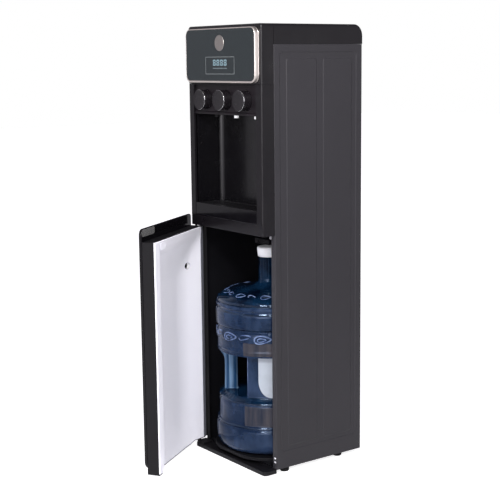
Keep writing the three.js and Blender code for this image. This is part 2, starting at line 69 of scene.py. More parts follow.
# ------------------------------------------------------------------ materials
def material(name, base, rough=0.4, metal=0.0, var=0.12, vscale=9.0, rvar=0.06, bump=0.12, bscale=1400.0, bdist=0.0002,
             coat=0.0, coat_rough=0.08, spec=0.5, ior=1.5, trans=0.0, brushed=None, tint=None, speck=0.0, emit=None, sheen=0.0):
    m = bpy.data.materials.new(name)
    m.use_nodes = True
    nt = m.node_tree
    bs = nt.nodes["Principled BSDF"]
    bs.inputs["Metallic"].default_value = metal
    bs.inputs["IOR"].default_value = ior
    bs.inputs["Specular IOR Level"].default_value = spec
    bs.inputs["Coat Weight"].default_value = coat
    bs.inputs["Coat Roughness"].default_value = coat_rough
    bs.inputs["Transmission Weight"].default_value = trans
    bs.inputs["Sheen Weight"].default_value = sheen
    co = nt.nodes.new("ShaderNodeTexCoord")
    mp = nt.nodes.new("ShaderNodeMapping")
    nt.links.new(co.outputs["Object"], mp.inputs["Vector"])
    if brushed:
        mp.inputs["Scale"].default_value = brushed
    # slow change of shade over the surface
    n1 = nt.nodes.new("ShaderNodeTexNoise")
    n1.inputs["Scale"].default_value = vscale
    n1.inputs["Detail"].default_value = 5
    n1.inputs["Roughness"].default_value = 0.55
    nt.links.new(co.outputs["Object"], n1.inputs["Vector"])
    r1 = nt.nodes.new("ShaderNodeValToRGB")
    b2 = tint or base
    r1.color_ramp.elements[0].position, r1.color_ramp.elements[1].position = 0.3, 0.72
    r1.color_ramp.elements[0].color = (*[c * (1 - var) for c in base], 1)
    r1.color_ramp.elements[1].color = (*[min(1, c * (1 + var)) for c in b2], 1)
    nt.links.new(n1.outputs["Fac"], r1.inputs["Fac"])
    col = r1.outputs["Color"]
    # fine grain, moulded or sprayed
    n2 = nt.nodes.new("ShaderNodeTexNoise")
    n2.inputs["Scale"].default_value = bscale
    n2.inputs["Detail"].default_value = 3
    nt.links.new(mp.outputs["Vector"], n2.inputs["Vector"])
    if speck:
        sp = nt.nodes.new("ShaderNodeMapRange")
        sp.inputs["From Min"].default_value, sp.inputs["From Max"].default_value = 0.35, 0.7
        sp.inputs["To Min"].default_value, sp.inputs["To Max"].default_value = 1 - speck, 1 + speck
        nt.links.new(n2.outputs["Fac"], sp.inputs["Value"])
        mx = nt.nodes.new("ShaderNodeVectorMath")
        mx.operation = "SCALE"
        nt.links.new(col, mx.inputs[0])
        nt.links.new(sp.outputs["Result"], mx.inputs["Scale"])
        col = mx.outputs["Vector"]
    nt.links.new(col, bs.inputs["Base Color"])
    n3 = nt.nodes.new("ShaderNodeTexNoise")
    n3.inputs["Scale"].default_value = vscale * 5.3
    n3.inputs["Detail"].default_value = 6
    nt.links.new(mp.outputs["Vector"], n3.inputs["Vector"])
    r3 = nt.nodes.new("ShaderNodeMapRange")
    r3.inputs["From Min"].default_value, r3.inputs["From Max"].default_value = 0.3, 0.7
    r3.inputs["To Min"].default_value, r3.inputs["To Max"].default_value = max(0.02, rough - rvar), min(1, rough + rvar)
    nt.links.new(n3.outputs["Fac"], r3.inputs["Value"])
    nt.links.new(r3.outputs["Result"], bs.inputs["Roughness"])
    if bump:
        bp = nt.nodes.new("ShaderNodeBump")
        bp.inputs["Strength"].default_value = bump
        bp.inputs["Distance"].default_value = bdist
        nt.links.new(n2.outputs["Fac"], bp.inputs["Height"])
        nt.links.new(bp.outputs["Normal"], bs.inputs["Normal"])
    if emit:
        bs.inputs["Emission Color"].default_value = (*emit[:3], 1)
        bs.inputs["Emission Strength"].default_value = emit[3]
    return m


M = {
    "steel": material("painted_steel", (0.0275, 0.0262, 0.0300), 0.42, var=0.08, vscale=3, bump=0.16, bscale=900, bdist=0.0003, speck=0.08, spec=0.30),
    # inner: darker steel for the inside faces, pan, platform, ribs and shelf; on the front flange of the left panel it
    # is painted shade
    "inner": material("dark_inside_and_painted_shade", (0.0042, 0.0042, 0.0056), 0.55, var=0.2, vscale=5, bump=0.2, bscale=900, bdist=0.0003, speck=0.1, spec=0.15),
    "shell": material("moulded_black", (0.0058, 0.0050, 0.0064), 0.32, var=0.12, vscale=4, bump=0.08, bscale=1300, bdist=0.0002, spec=0.30),
    "panel": material("textured_black", (0.0090, 0.0068, 0.0088), 0.45, var=0.14, vscale=6, bump=0.35, bscale=700, bdist=0.0004, speck=0.2, spec=0.26),
    "gloss": material("gloss_black", (0.0038, 0.0034, 0.0046), 0.16, var=0.14, vscale=5, rvar=0.04, bump=0.03, bscale=500, coat=0.12, coat_rough=0.06, spec=0.28),
    "knob": material("knob_black", (0.0085, 0.0072, 0.0088), 0.24, var=0.12, vscale=20, rvar=0.05, bump=0.05, bscale=900, coat=0.12, coat_rough=0.08, spec=0.36),
    "cavity": material("recess_black", (0.0024, 0.0021, 0.0030), 0.24, var=0.15, vscale=5, rvar=0.05, bump=0.05, bscale=700, coat=0.2, coat_rough=0.12, spec=0.4),
    "black": material("matt_black", (0.0052, 0.0048, 0.0060), 0.46, var=0.16, vscale=8, bump=0.25, bscale=900, bdist=0.0003, speck=0.12, spec=0.24),
    "dark": material("shaded_black", (0.0022, 0.0020, 0.0028), 0.50, var=0.2, vscale=8, bump=0.25, bscale=900, bdist=0.0003, speck=0.12, spec=0.12),
    "zinc": material("zinc_plate", (0.36, 0.37, 0.38), 0.38, 1.0, var=0.16, vscale=22, rvar=0.12, bump=0.10, bscale=500, speck=0.10),
    "chrome": material("chrome", (0.82, 0.82, 0.84), 0.12, 1.0, var=0.03, vscale=30, rvar=0.05, bump=0.02, bscale=900),
    "champagne": material("champagne_metal", (0.93, 0.86, 0.80), 0.34, 1.0, var=0.02, vscale=14, rvar=0.02, bump=0.012, bscale=900, brushed=(1, 1, 14)),
    "roundel": material("champagne_disc", (0.44, 0.41, 0.385), 0.36, 1.0, var=0.05, vscale=30, rvar=0.06, bump=0.06, bscale=700),
    "glass": material("dark_glass", (0.0150, 0.0205, 0.0226), 0.12, var=0.05, vscale=7, rvar=0.03, bump=0.015, bscale=80, coat=0.12, coat_rough=0.05, spec=0.34),
    "ink": material("glass_print", (0.20, 0.22, 0.22), 0.45, var=0.08, vscale=60, bump=0.05),
    "lit": material("lit_segments", (0.16, 0.24, 0.27), 0.4, var=0.25, vscale=160, bump=0.03, emit=(0.26, 0.42, 0.50, 0.16)),
    "unlit": material("segment_caption", (0.12, 0.15, 0.16), 0.4, var=0.10, vscale=160, bump=0.03, emit=(0.3, 0.42, 0.46, 0.04)),
    "white": material("white_plastic", (0.84, 0.84, 0.86), 0.36, var=0.03, vscale=20, bump=0.06, bscale=900),
    # cap: white cap with a faint glow, painted light
    "cap": material("cap_polythene_painted_glow", (0.93, 0.95, 0.97), 0.42, var=0.03, vscale=40, bump=0.12, bscale=1500, emit=(0.95, 0.98, 1.0, 0.06)),
    # liner: white sheet with a faint glow, painted light that brightens it
    "liner": material("formed_white_sheet_painted_glow", (0.89, 0.885, 0.945), 0.40, var=0.02, vscale=4, rvar=0.08, bump=0.08, bscale=300, bdist=0.0003, spec=0.4, emit=(0.93, 0.93, 1.0, 0.105)),
    "rubber": material("rubber", (0.006, 0.006, 0.0066), 0.8, var=0.2, vscale=30, bump=0.4, bscale=1200, bdist=0.0003, speck=0.2, spec=0.2),
    "felt": material("felt_pad", (0.026, 0.024, 0.024), 0.95, var=0.5, vscale=260, bump=0.9, bscale=1500, bdist=0.0008, speck=0.5, sheen=0.3),
    "foam": material("foam", (0.72, 0.66, 0.48), 0.9, var=0.14, vscale=30, bump=0.8, bscale=260, bdist=0.0015, speck=0.12),
    "copper": material("copper_tube", (0.62, 0.30, 0.16), 0.32, 1.0, var=0.12, vscale=25, rvar=0.1, bump=0.05),
    "circuit": material("circuit", (0.02, 0.11, 0.05), 0.5, var=0.3, vscale=200, bump=0.3, bscale=500),
    # tip: white outlet tips glow, painted light
    "tip": material("outlet_white_painted_glow", (0.86, 0.86, 0.88), 0.34, var=0.03, vscale=20, bump=0.06, bscale=900, emit=(1, 1, 1, 0.45)),
    "dot": material("switch_grey", (0.30, 0.30, 0.32), 0.4, var=0.08, vscale=60, bump=0.06, bscale=900),
    # seal: grey for the rolled hinge edge of the door sheet, painted shade
    "seal": material("painted_edge_shade_grey", (0.13, 0.133, 0.155), 0.6, var=0.06, vscale=12, bump=0.1, bscale=900),
    "label": material("paper_label", (0.36, 0.40, 0.45), 0.5, var=0.05, vscale=50, bump=0.12, bscale=1600),
}


def blown(name, dark, light, trans, streak, spec=0.32, rough=0.07):
    """clear blue plastic, its shade broken up the way a blown wall with water behind it is"""
    m = material(name, dark, rough, var=0.1, vscale=10, rvar=0.03, bump=0.10, bscale=34, bdist=0.002, trans=trans, ior=1.45, spec=spec)
    nt = m.node_tree
    bs = nt.nodes["Principled BSDF"]
    bs.inputs["Specular Tint"].default_value = (0.62, 0.78, 1.0, 1)
    co = nt.nodes.new("ShaderNodeTexCoord")
    mp = nt.nodes.new("ShaderNodeMapping")
    mp.inputs["Scale"].default_value = streak
    nt.links.new(co.outputs["Object"], mp.inputs["Vector"])
    no = nt.nodes.new("ShaderNodeTexNoise")
    no.inputs["Scale"].default_value = 1.0
    no.inputs["Detail"].default_value = 4
    nt.links.new(mp.outputs["Vector"], no.inputs["Vector"])
    rp = nt.nodes.new("ShaderNodeValToRGB")
    rp.color_ramp.elements[0].position, rp.color_ramp.elements[1].position = 0.36, 0.66
    rp.color_ramp.elements[0].color, rp.color_ramp.elements[1].color = (*dark, 1), (*light, 1)
    nt.links.new(no.outputs["Fac"], rp.inputs["Fac"])
    nt.links.new(rp.outputs["Color"], bs.inputs["Base Color"])
    return m


M["bottle"] = blown("blue_polycarbonate", (0.003, 0.012, 0.038), (0.029, 0.052, 0.112), 0.30, (22, 22, 13), spec=0.24, rough=0.05)
# deep: darker blue for the shoulder and under ledges, painted shade
M["deep"] = blown("blue_polycarbonate_painted_shade", (0.001, 0.005, 0.017), (0.005, 0.026, 0.066), 0.30, (30, 30, 22), spec=0.18, rough=0.05)
# facet: smoky brown-grey on the facets of one half of the bottle, painted reflection
M["facet"] = blown("blue_polycarbonate_painted_reflection", (0.020, 0.023, 0.036), (0.062, 0.056, 0.062), 0.15, (60, 60, 7), spec=0.22, rough=0.10)
# bar: lighter blue on the upright grip bar, painted light shining through it
M["bar"] = blown("blue_polycarbonate_painted_backlight", (0.012, 0.048, 0.120), (0.190, 0.320, 0.480), 0.20, (150, 150, 4), spec=0.3)
M["mark"] = blown("blue_polycarbonate_raised", (0.040, 0.070, 0.165), (0.200, 0.270, 0.450), 0.15, (60, 60, 60), spec=0.5)
M["gleam"] = blown("blue_polycarbonate_polished", (0.002, 0.006, 0.018), (0.010, 0.022, 0.052), 0.25, (30, 30, 30), spec=0.9, rough=0.06)


# ------------------------------------------------------------------ outlines
def rr(u0, u1, v0, v1, r, n=8):
    """rounded rectangle, corner radii in the order (u0,v0) (u1,v0) (u1,v1) (u0,v1)"""
    R = list(r) if isinstance(r, (list, tuple)) else [r] * 4
    out = []
    for (u, v, su, sv, a0), q in zip(((u0, v0, 1, 1, 180), (u1, v0, -1, 1, 270), (u1, v1, -1, -1, 0), (u0, v1, 1, -1, 90)), R):
        q = max(q, 0.02)
        for k in range(n + 1):
            a = math.radians(a0 + 90 * k / n)
            out.append((u + su * q + q * math.cos(a), v + sv * q + q * math.sin(a)))
    return out


def rr_in(spec, d, n=8):
    u0, u1, v0, v1, r = spec
    R = list(r) if isinstance(r, (list, tuple)) else [r] * 4
    return rr(u0 + d, u1 - d, v0 + d, v1 - d, [max(q - d, 0.02) for q in R], n)


def disc(cu, cv, r, n=48, a0=0.0):
    return [(cu + r * math.cos(a0 + 2 * math.pi * i / n), cv + r * math.sin(a0 + 2 * math.pi * i / n)) for i in range(n)]


def lift(axis, u, v, w):
    return (u, v, w) if axis == "z" else (u, w, v) if axis == "y" else (w, u, v)


def stack(axis, loops, closed=True):
    """closed solid through loops of equal length; each loop is (outline, level)"""
    V, F = [], []
    n = len(loops[0][0])
    for pts, w in loops:
        V += [lift(axis, u, v, w) for u, v in pts]
    for k in range(len(loops) - 1):
        a, b = k * n, (k + 1) * n
        F += [(a + i, a + (i + 1) % n, b + (i + 1) % n, b + i) for i in range(n)]
    if closed:
        F.append(tuple(range(n - 1, -1, -1)))
        F.append(tuple(range((len(loops) - 1) * n, len(loops) * n)))
    return V, F


def prism(axis, pts, a, b):
    return stack(axis, [(pts, a), (pts, b)])


def block(x0, x1, y0, y1, z0, z1):
    return prism("z", [(x0, y0), (x1, y0), (x1, y1), (x0, y1)], z0, z1)


def pillow(axis, spec, w0, w1, e0=1.0, e1=1.0, n=8, k=5):
    """rounded rectangle slab with its two rims rounded by e0 and e1"""
    loops, s = [], 1 if w1 > w0 else -1
    for i in range(k + 1):
        a = math.pi / 2 * i / k
        if e0 > 0:
            loops.append((rr_in(spec, e0 * (1 - math.sin(a)), n), w0 + s * e0 * (1 - math.cos(a))))
    if e0 <= 0:
        loops.append((rr_in(spec, 0, n), w0))
    if e1 > 0:
        for i in range(k, -1, -1):
            a = math.pi / 2 * i / k
            loops.append((rr_in(spec, e1 * (1 - math.sin(a)), n), w1 - s * e1 * (1 - math.cos(a))))
    else:
        loops.append((rr_in(spec, 0, n), w1))
    return stack(axis, loops)


def turned(axis, profile, cu, cv, n=64, closed=False):
    """profile of (radius, level) turned about an axis; closed for a ring whose profile is a loop"""
    V, F, idx = [], [], []
    for r, w in profile:
        if r < 1e-6:
            idx.append([len(V)] * n)
            V.append(lift(axis, cu, cv, w))
        else:
            idx.append(list(range(len(V), len(V) + n)))
            V += [lift(axis, u, v, w) for u, v in disc(cu, cv, r, n)]
    pairs = list(zip(idx, idx[1:])) + ([(idx[-1], idx[0])] if closed else [])
    for a, b in pairs:
        for i in range(n):
            q = [a[i], a[(i + 1) % n], b[(i + 1) % n], b[i]]
            q = [v for j, v in enumerate(q) if v not in q[:j]]
            if len(q) > 2:
                F.append(tuple(q))
    return V, F


def arc(cr, cw, r, a0, a1, k=5):
    return [(cr + r * math.cos(math.radians(a0 + (a1 - a0) * i / k)), cw + r * math.sin(math.radians(a0 + (a1 - a0) * i / k))) for i in range(k + 1)]


def merge(*geos):
    V, F = [], []
    for v, f in geos:
        o = len(V)
        V += list(v)
        F += [tuple(i + o for i in t) for t in f]
    return V, F


# ------------------------------------------------------------------ mesh tools
def _raw(geo, name="tmp"):
    me = bpy.data.meshes.new(name)
    me.from_pydata([tuple(v) for v in geo[0]], [], [tuple(f) for f in geo[1]])
    bm = bmesh.new()
    bm.from_mesh(me)
    bmesh.ops.remove_doubles(bm, verts=bm.verts, dist=1e-4)
    bmesh.ops.recalc_face_normals(bm, faces=bm.faces)
    bm.to_mesh(me)
    bm.free()
    return me


def csg(base, cuts=(), adds=()):
    """solid with others taken away or joined"""
    tmp = []

    def ob(g):
        o = bpy.data.objects.new("tmp", _raw(g))
        bpy.context.scene.collection.objects.link(o)
        tmp.append(o)
        return o

    a = ob(base)
    for op, group in (("UNION", adds), ("DIFFERENCE", cuts)):
        for g in group:
            m = a.modifiers.new("b", "BOOLEAN")
            m.operation, m.solver, m.object = op, "EXACT", ob(g)
    dg = bpy.context.evaluated_depsgraph_get()
    dg.update()
    me = a.evaluated_get(dg).to_mesh()
    out = ([tuple(v.co) for v in me.vertices], [tuple(p.vertices) for p in me.polygons])
    a.evaluated_get(dg).to_mesh_clear()
    for o in tmp:
        d = o.data
        bpy.data.objects.remove(o)
        bpy.data.meshes.remove(d)
    return out


def piece(name, geo, mat, body="cabinet", rep=(), at=CAB, bevel=0.0, seg=2, angle=32, sub=0, flat=0.4, weighted=True, solidify=0.0, mats=None, split=None):
    me = bpy.data.meshes.new(name)
    me.from_pydata([at(v) for v in geo[0]], [], [tuple(f) for f in geo[1]])
    bm = bmesh.new()
    bm.from_mesh(me)
    bmesh.ops.remove_doubles(bm, verts=bm.verts, dist=2e-7)
    if flat:
        bmesh.ops.dissolve_limit(bm, angle_limit=math.radians(flat), verts=bm.verts, edges=bm.edges, delimit={"MATERIAL"})
    bmesh.ops.recalc_face_normals(bm, faces=bm.faces)
    for f in bm.faces:
        f.smooth = True
    for e in bm.edges:
        if len(e.link_faces) == 2 and e.calc_face_angle(0) > math.radians(angle):
            e.smooth = bool(bevel)
    if split:
        for f in bm.faces:
            f.material_index = split(f)
    bm.to_mesh(me)
    bm.free()
    ob = bpy.data.objects.new(name, me)
    bpy.context.scene.collection.objects.link(ob)
    for k in (mats or [mat]):
        me.materials.append(M[k])
    if solidify:
        so = ob.modifiers.new("thickness", "SOLIDIFY")
        so.thickness, so.offset = solidify / 1000, -1
    if bevel:
        bv = ob.modifiers.new("edges", "BEVEL")
        bv.width, bv.segments, bv.limit_method, bv.angle_limit = bevel / 1000, seg, "ANGLE", math.radians(angle)
    if sub:
        ss = ob.modifiers.new("smooth", "SUBSURF")
        ss.levels = ss.render_levels = sub
    if weighted:
        wn = ob.modifiers.new("normals", "WEIGHTED_NORMAL")
        wn.keep_sharp, wn.weight = True, 60
    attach(ob, body)
    if rep:
        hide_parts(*rep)
    return ob


def tube(name, pts, r, mat, body="cabinet", at=CAB, rep=(), res=10, fillet=True, cyclic=False):
    cu = bpy.data.curves.new(name, "CURVE")
    cu.dimensions = "3D"
    cu.bevel_depth, cu.bevel_resolution = r / 1000, 4
    cu.use_fill_caps = True
    if fillet:
        sp = cu.splines.new("NURBS")
        sp.points.add(len(pts) - 1)
        for q, p in zip(sp.points, pts):
            q.co = (*at(p), 1)
        sp.use_endpoint_u, sp.order_u, sp.resolution_u = True, 3, res
        sp.use_cyclic_u = cyclic
    else:
        sp = cu.splines.new("POLY")
        sp.points.add(len(pts) - 1)
        for q, p in zip(sp.points, pts):
            q.co = (*at(p), 1)
    ob = bpy.data.objects.new(name, cu)
    bpy.context.scene.collection.objects.link(ob)
    dg = bpy.context.evaluated_depsgraph_get()
    me = bpy.data.meshes.new_from_object(ob.evaluated_get(dg))
    bpy.data.objects.remove(ob)
    bpy.data.curves.remove(cu)
    ob = bpy.data.objects.new(name, me)
    bpy.context.scene.collection.objects.link(ob)
    me.materials.clear()
    me.materials.append(M[mat])
    for p in me.polygons:
        p.use_smooth = True
    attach(ob, body)
    if rep:
        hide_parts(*rep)
    return ob


def smooth(t):
    t = max(0.0, min(1.0, t))
    return t * t * (3 - 2 * t)


def smin(a, b, k):
    h = max(k - abs(a - b), 0.0) / k
    return min(a, b) - h * h * k * 0.25


def sd_rr(u, v, u0, u1, v0, v1, r):
    """distance to a rounded rectangle, negative inside"""
    qx = abs(u - (u0 + u1) / 2) - (u1 - u0) / 2 + r
    qy = abs(v - (v0 + v1) / 2) - (v1 - v0) / 2 + r
    return min(max(qx, qy), 0.0) + math.hypot(max(qx, 0), max(qy, 0)) - r


def levels(a, b, marks, coarse=60.0):
    """grid lines from a to b, dense round the marks: (place, reach, step)"""
    s = {round(a, 3), round(b, 3)}
    for m, reach, step in marks:
        k = int(round(reach / step))
        for i in range(-k, k + 1):
            q = m + i * step
            if a < q < b:
                s.add(round(q, 3))
    out = sorted(s)
    full = [out[0]]
    for q in out[1:]:
        gap = q - full[-1]
        if gap < 0.18 and q != out[-1]:
            continue
        m = int(gap // coarse)
        for i in range(1, m + 1):
            full.append(full[-1] + (q - full[-1]) / (m + 2 - i))
        full.append(q)
    return full


SIDES = (("left", -1), ("right", 1))

# ------------------------------------------------------------------ side panels: pressed sheet with folded flanges
P_OUT = (52, 289, 52, 1011, 9)
P_F1 = (72, 165, 64, 996, 7)
P_F2 = (183, 274, 64, 996, 7)
RAMP = 3.0


def press(y, z):
    d = 1.25 * smooth(-sd_rr(y, z, *P_OUT) / RAMP)
    d -= 1.25 * smooth(-sd_rr(y, z, *P_F1) / RAMP)
    d -= 1.25 * smooth(-sd_rr(y, z, *P_F2) / RAMP)
    return d


yl = levels(38.3, 304.0, [(q + 1.5 if i % 2 == 0 else q - 1.5, 2.4, 0.6) for i, q in enumerate((52, 289, 72, 165, 183, 274))]
            + [(q, 9, 1.5) for q in (58, 78, 283, 159, 189, 268)], 14)
zl = levels(11, 1027.7, [(q, 2.4, 0.6) for q in (53.5, 65.5, 994.5, 1009.5)] + [(58, 6, 1.5), (70, 6, 1.5), (990, 6, 1.5), (1004, 6, 1.5)]
            + [(11.4, 0.8, 0.4), (1027.3, 0.8, 0.4)], 40)
for nm, s in SIDES:
    def ring(z, inset):
        o = []
        # inner lip of the front flange, round the folded corner, along the skin, round the rear corner
        o += [(135.5, 37.8), (135.5, 36.3 + inset)]
        for k in range(7):
            a = math.radians(270 + 90 * k / 6)
            o.append((148 + (2 - inset) * math.cos(a), 38.3 + (2 - inset) * math.sin(a)))
        o += [(150 - inset - press(y, z), y) for y in yl[1:-1]]
        for k in range(7):
            a = math.radians(0 + 90 * k / 6)
            o.append((148 + (2 - inset) * math.cos(a), 304 + (2 - inset) * math.sin(a)))
        o += [(138, 306 - inset), (138, 304.5), (147.6, 304.5), (147.6, 200), (147.6, 120), (147.6, 37.8)]
        return [(s * x, y) for x, y in o]
    loops = [(ring(z, 0.25 if z in (zl[0], zl[-1]) else 0.0), z) for z in zl]
    # inside faces take the darker inside steel; the front flange of the left panel takes it too, as painted shade
    piece("side_skin_" + nm, stack("z", loops), "steel", rep=["side_panel_" + nm], flat=0, angle=50, mats=["steel", "inner"],
          split=lambda f, s=s: 1 if abs(f.calc_center_median().x * 1000 - OX) < 147.7 and (f.calc_center_median().y * 1000 - OY) > 37.5 and (f.calc_center_median().y * 1000 - OY) < 304.6 or (s < 0 and (f.calc_center_median().y * 1000 - OY) < 37.6) else 0)

# ------------------------------------------------------------------ back panel, seen from behind
back = merge()
b_low = block(-146.6, 146.6, 303, 304.2, 11.3, 600)
b_step = block(-146.6, 146.6, 286, 304.2, 598.8, 600)
b_up = block(-146.6, 146.6, 286, 287.2, 598.8, 1027.7)
cuts = [prism("y", rr(-60, 60, 90 + i * 16, 96 + i * 16, 3, 5), 300, 306) for i in range(5)]
cuts += [prism("y", rr(-115.5, -84.5, 990, 1012, 2, 3), 280, 290), prism("y", rr(-75.5, -44.5, 990, 1012, 2, 3), 280, 290)]
cuts += [prism("y", disc(-100, 640, 8.4, 24), 280, 290), prism("y", disc(30, 625, 9.4, 24), 280, 290)]
piece("back_plate", csg(csg(b_low, adds=[b_step, b_up]), cuts=cuts), "steel", rep=["back_panel"], bevel=0.35, seg=2)
# pressed louvre lips over the slots, and the screws
for i in range(5):
    z = 97.2 + i * 16
    lp = [(rr_in((-62, 62, z - 1.6, z + 3.4, 2.4), d, 5), y) for d, y in ((0, 304.3), (0.6, 305.0), (1.5, 305.5))]
    piece("louvre_lip_%d" % i, stack("y", lp), "steel", flat=0, angle=50)
for i, (x, z) in enumerate([(-138, 24), (138, 24), (-138, 300), (138, 300), (-138, 586), (138, 586), (0, 586), (0, 24)]):
    g = turned("y", [(0, 304.3), (4.2, 304.3)] + arc(3.0, 304.5, 1.2, 0, 90, 4) + [(0, 305.9)], x, z, 24)
    g = csg(g, cuts=[block(x - 2.1, x + 2.1, 305.0, 307, z - 0.35, z + 0.35), block(x - 0.35, x + 0.35, 305.0, 307, z - 2.1, z + 2.1)])
    piece("back_screw_%d" % i, g, "zinc", angle=40, weighted=False)
for i, (x, z) in enumerate([(-138, 1015), (138, 1015), (-138, 800), (138, 800), (0, 1015), (-138, 612), (138, 612)]):
    g = turned("y", [(0, 287.3), (4.2, 287.3)] + arc(3.0, 287.5, 1.2, 0, 90, 4) + [(0, 288.9)], x, z, 24)
    g = csg(g, cuts=[block(x - 2.1, x + 2.1, 288.0, 290, z - 0.35, z + 0.35), block(x - 0.35, x + 0.35, 288.0, 290, z - 2.1, z + 2.1)])
    piece("back_screw_up_%d" % i, g, "zinc", angle=40, weighted=False)

# ------------------------------------------------------------------ top cover and head shell
TOP = 1075.0


def cap_section(h, zb, hw, edge=9.0, inset=0.0, n=7):
    """section of the lid in (x, z): flat top, large soft shoulder"""
    pts = [(-hw + inset, zb + inset), (hw - inset, zb + inset)]
    for k in range(n + 1):
        a = math.pi / 2 * k / n
        # squarish shoulder: between a chamfer and a quarter round
        cx, sz = math.cos(a) ** 0.85, math.sin(a) ** 0.85
        pts.append((hw - inset - edge + edge * cx, h - inset - edge + edge * sz))
    for k in range(n, -1, -1):
        a = math.pi / 2 * k / n
        cx, sz = math.cos(a) ** 0.85, math.sin(a) ** 0.85
        pts.append((-hw + inset + edge - edge * cx, h - inset - edge + edge * sz))
    return pts


loops = [(cap_section(TOP, 1028, 150, inset=0.5), 36.3), (cap_section(TOP, 1028, 150, inset=0.12), 36.5), (cap_section(TOP, 1028, 150), 36.9)]
loops += [(cap_section(TOP, 1028, 150), y) for y in (37.6, 80, 140, 200, 250, 280, 287)]
for k in range(1, 11):
    a = math.pi / 2 * k / 10
    loops.append((cap_section(TOP - 20 + 20 * math.cos(a), 1028, 150 - 0.15 * k / 10), 286.6 + 20 * math.sin(a) if k < 10 else 306.6))
loops.append((cap_section(TOP - 20 - 0.3, 1028, 149.6, inset=0.5), 307.0))
piece("lid", stack("y", loops), "shell", rep=["top_cover"], flat=0, angle=40, bevel=0)

loops = []
for k in range(9):
    a = math.pi / 2 * k / 8
    e = 5 * (1 - math.sin(a))
    loops.append((cap_section(TOP - min(e, 5) * 0.7, 937 + 0.5 * (1 - math.sin(a)), 150 - e), 5 * (1 - math.cos(a))))
loops += [(cap_section(TOP, 937, 150), y) for y in (7, 20, 35.2)]
loops += [(cap_section(TOP, 937, 150, inset=0.15), 35.75), (cap_section(TOP, 937, 150, inset=0.5), 36)]
piece("head_housing", stack("y", loops), "shell", rep=["head_shell"], flat=0, angle=40)

# ------------------------------------------------------------------ display: metal rim, glass, window, digits, bare disc
GX, GZ0, GZ1 = 142.2, 940, 1068
outer = (-GX, GX, GZ0, GZ1, 18)
n = 12
prof_out = [(0.0, -0.3), (0.0, -1.2), (0.45, -1.6), (0.45, -2.2), (0.0, -2.6), (0.0, -10.6)] + [(1.5 * (1 - math.cos(math.radians(q))), -10.6 - 1.4 * math.sin(math.radians(q))) for q in (18, 36, 54, 72, 90)]
loops = [(rr_in(outer, d, n), y) for d, y in prof_out]
inner = (-GX + 2.2, GX - 2.2, GZ0 + 4.3, GZ1 - 2.2, 15)
loops += [(rr_in(inner, 0, n), -12.0), (rr_in(inner, 0.25, n), -11.6), (rr_in(inner, 0.25, n), -8.8)]
rim = stack("y", loops)
rim = csg(rim, cuts=[block(-58, 65, -10, -4, 958, 1003)])
piece("display_rim", rim, "champagne", rep=["display_trim"], angle=40, flat=0.2, weighted=True)
gl = (-GX + 2.75, GX - 2.75, GZ0 + 4.85, GZ1 - 2.75, 14.6)
piece("display_pane", pillow("y", gl, -12.3, -9.1, 0.9, 0.2, 12, 5), "glass", rep=["display_glass"], flat=0, angle=50)


def frame_bar(x0, x1, z0, z1, w, y0, y1, name, mat, r=2.0):
    o = prism("y", rr(x0, x1, z0, z1, r, 5), y0, y1)
    i = prism("y", rr(x0 + w, x1 - w, z0 + w, z1 - w, max(r - w, 0.2), 5), y0 - 1, y1 + 1)
    return piece(name, csg(o, cuts=[i]), mat, angle=40, weighted=False)


frame_bar(-55.5, 62.5, 960.2, 1001.0, 1.0, -12.42, -12.31, "window_line", "ink")


def segment_digit(x, z, w, h, t, lit):
    """seven bars of one digit"""
    s, g = 0.35, []
    hx = [(x + t * 0.6 + s, x + w - t * 0.6 - s, z + h - t, z + h), (x + t * 0.6 + s, x + w - t * 0.6 - s, z + h / 2 - t / 2, z + h / 2 + t / 2), (x + t * 0.6 + s, x + w - t * 0.6 - s, z, z + t)]
    vx = [(x, x + t, z + h / 2 + s, z + h - s), (x + w - t, x + w, z + h / 2 + s, z + h - s), (x, x + t, z + s, z + h / 2 - s), (x + w - t, x + w, z + s, z + h / 2 - s)]
    names = "agd" + "fbec"
    for nme, (a, b, c, d) in zip(names, hx + vx):
        if nme in lit:
            if nme in "agd":
                q = [(a, (c + d) / 2), (a + t * 0.45, c), (b - t * 0.45, c), (b, (c + d) / 2), (b - t * 0.45, d), (a + t * 0.45, d)]
            else:
                q = [((a + b) / 2, c), (b, c + t * 0.45), (b, d - t * 0.45), ((a + b) / 2, d), (a, d - t * 0.45), (a, c + t * 0.45)]
            g.append(prism("y", q, -12.46, -12.31))
    return g


DIG = {"0": "abcdef", "1": "bc", "2": "abged", "3": "abgcd", "4": "fgbc", "5": "afgcd", "6": "afgedc", "7": "abc", "8": "abcdefg", "9": "abcdfg"}
segs = []
for i, ch in enumerate("8888"):
    segs += segment_digit(-24.5 + i * 14.9, 980.0, 11.4, 14.4, 2.9, DIG[ch])
piece("display_digits", merge(*segs), "lit", flat=0, weighted=False)
marks = []
for i in range(12):
    marks.append(prism("y", rr(-24.5 + i * 4.9, -24.5 + i * 4.9 + 3.4, 972.6, 975.2, 0.6, 2), -12.44, -12.31))
piece("display_marks", merge(*marks), "unlit", flat=0, weighted=False)
# bare disc: shallow dish with a turned rim
piece("bare_disc", turned("y", [(0, -12.9), (14.8, -12.9), (15.5, -12.95), (16.1, -13.2)] + arc(17.5, -12.3, 1.1, -100, 0, 6) + [(18.6, -12.35), (0, -12.35)], 3.0, 1033, 72),
      "roundel", rep=["roundel"], angle=55, weighted=False, flat=0)

# ------------------------------------------------------------------ front fascia
plan = rr(-150, 150, 0, 36, [5, 5, 0, 0], 10)
fas = prism("z", plan, 585, 936.7)
cuts = [block(-146.5, 146.5, 6, 37, 588, 934.9), prism("y", rr(-128, 128, 611.2, 935, [1.5, 1.5, 4, 4], 5), -1, 7),
        block(-151, 151, -1, 1.8, 584, 611.2), prism("z", disc(PX, PY, 3.4, 20), 584, 590)]
piece("front_fascia", csg(fas, cuts=cuts), "shell", rep=["fascia_frame"], bevel=0.7, seg=3, angle=30)

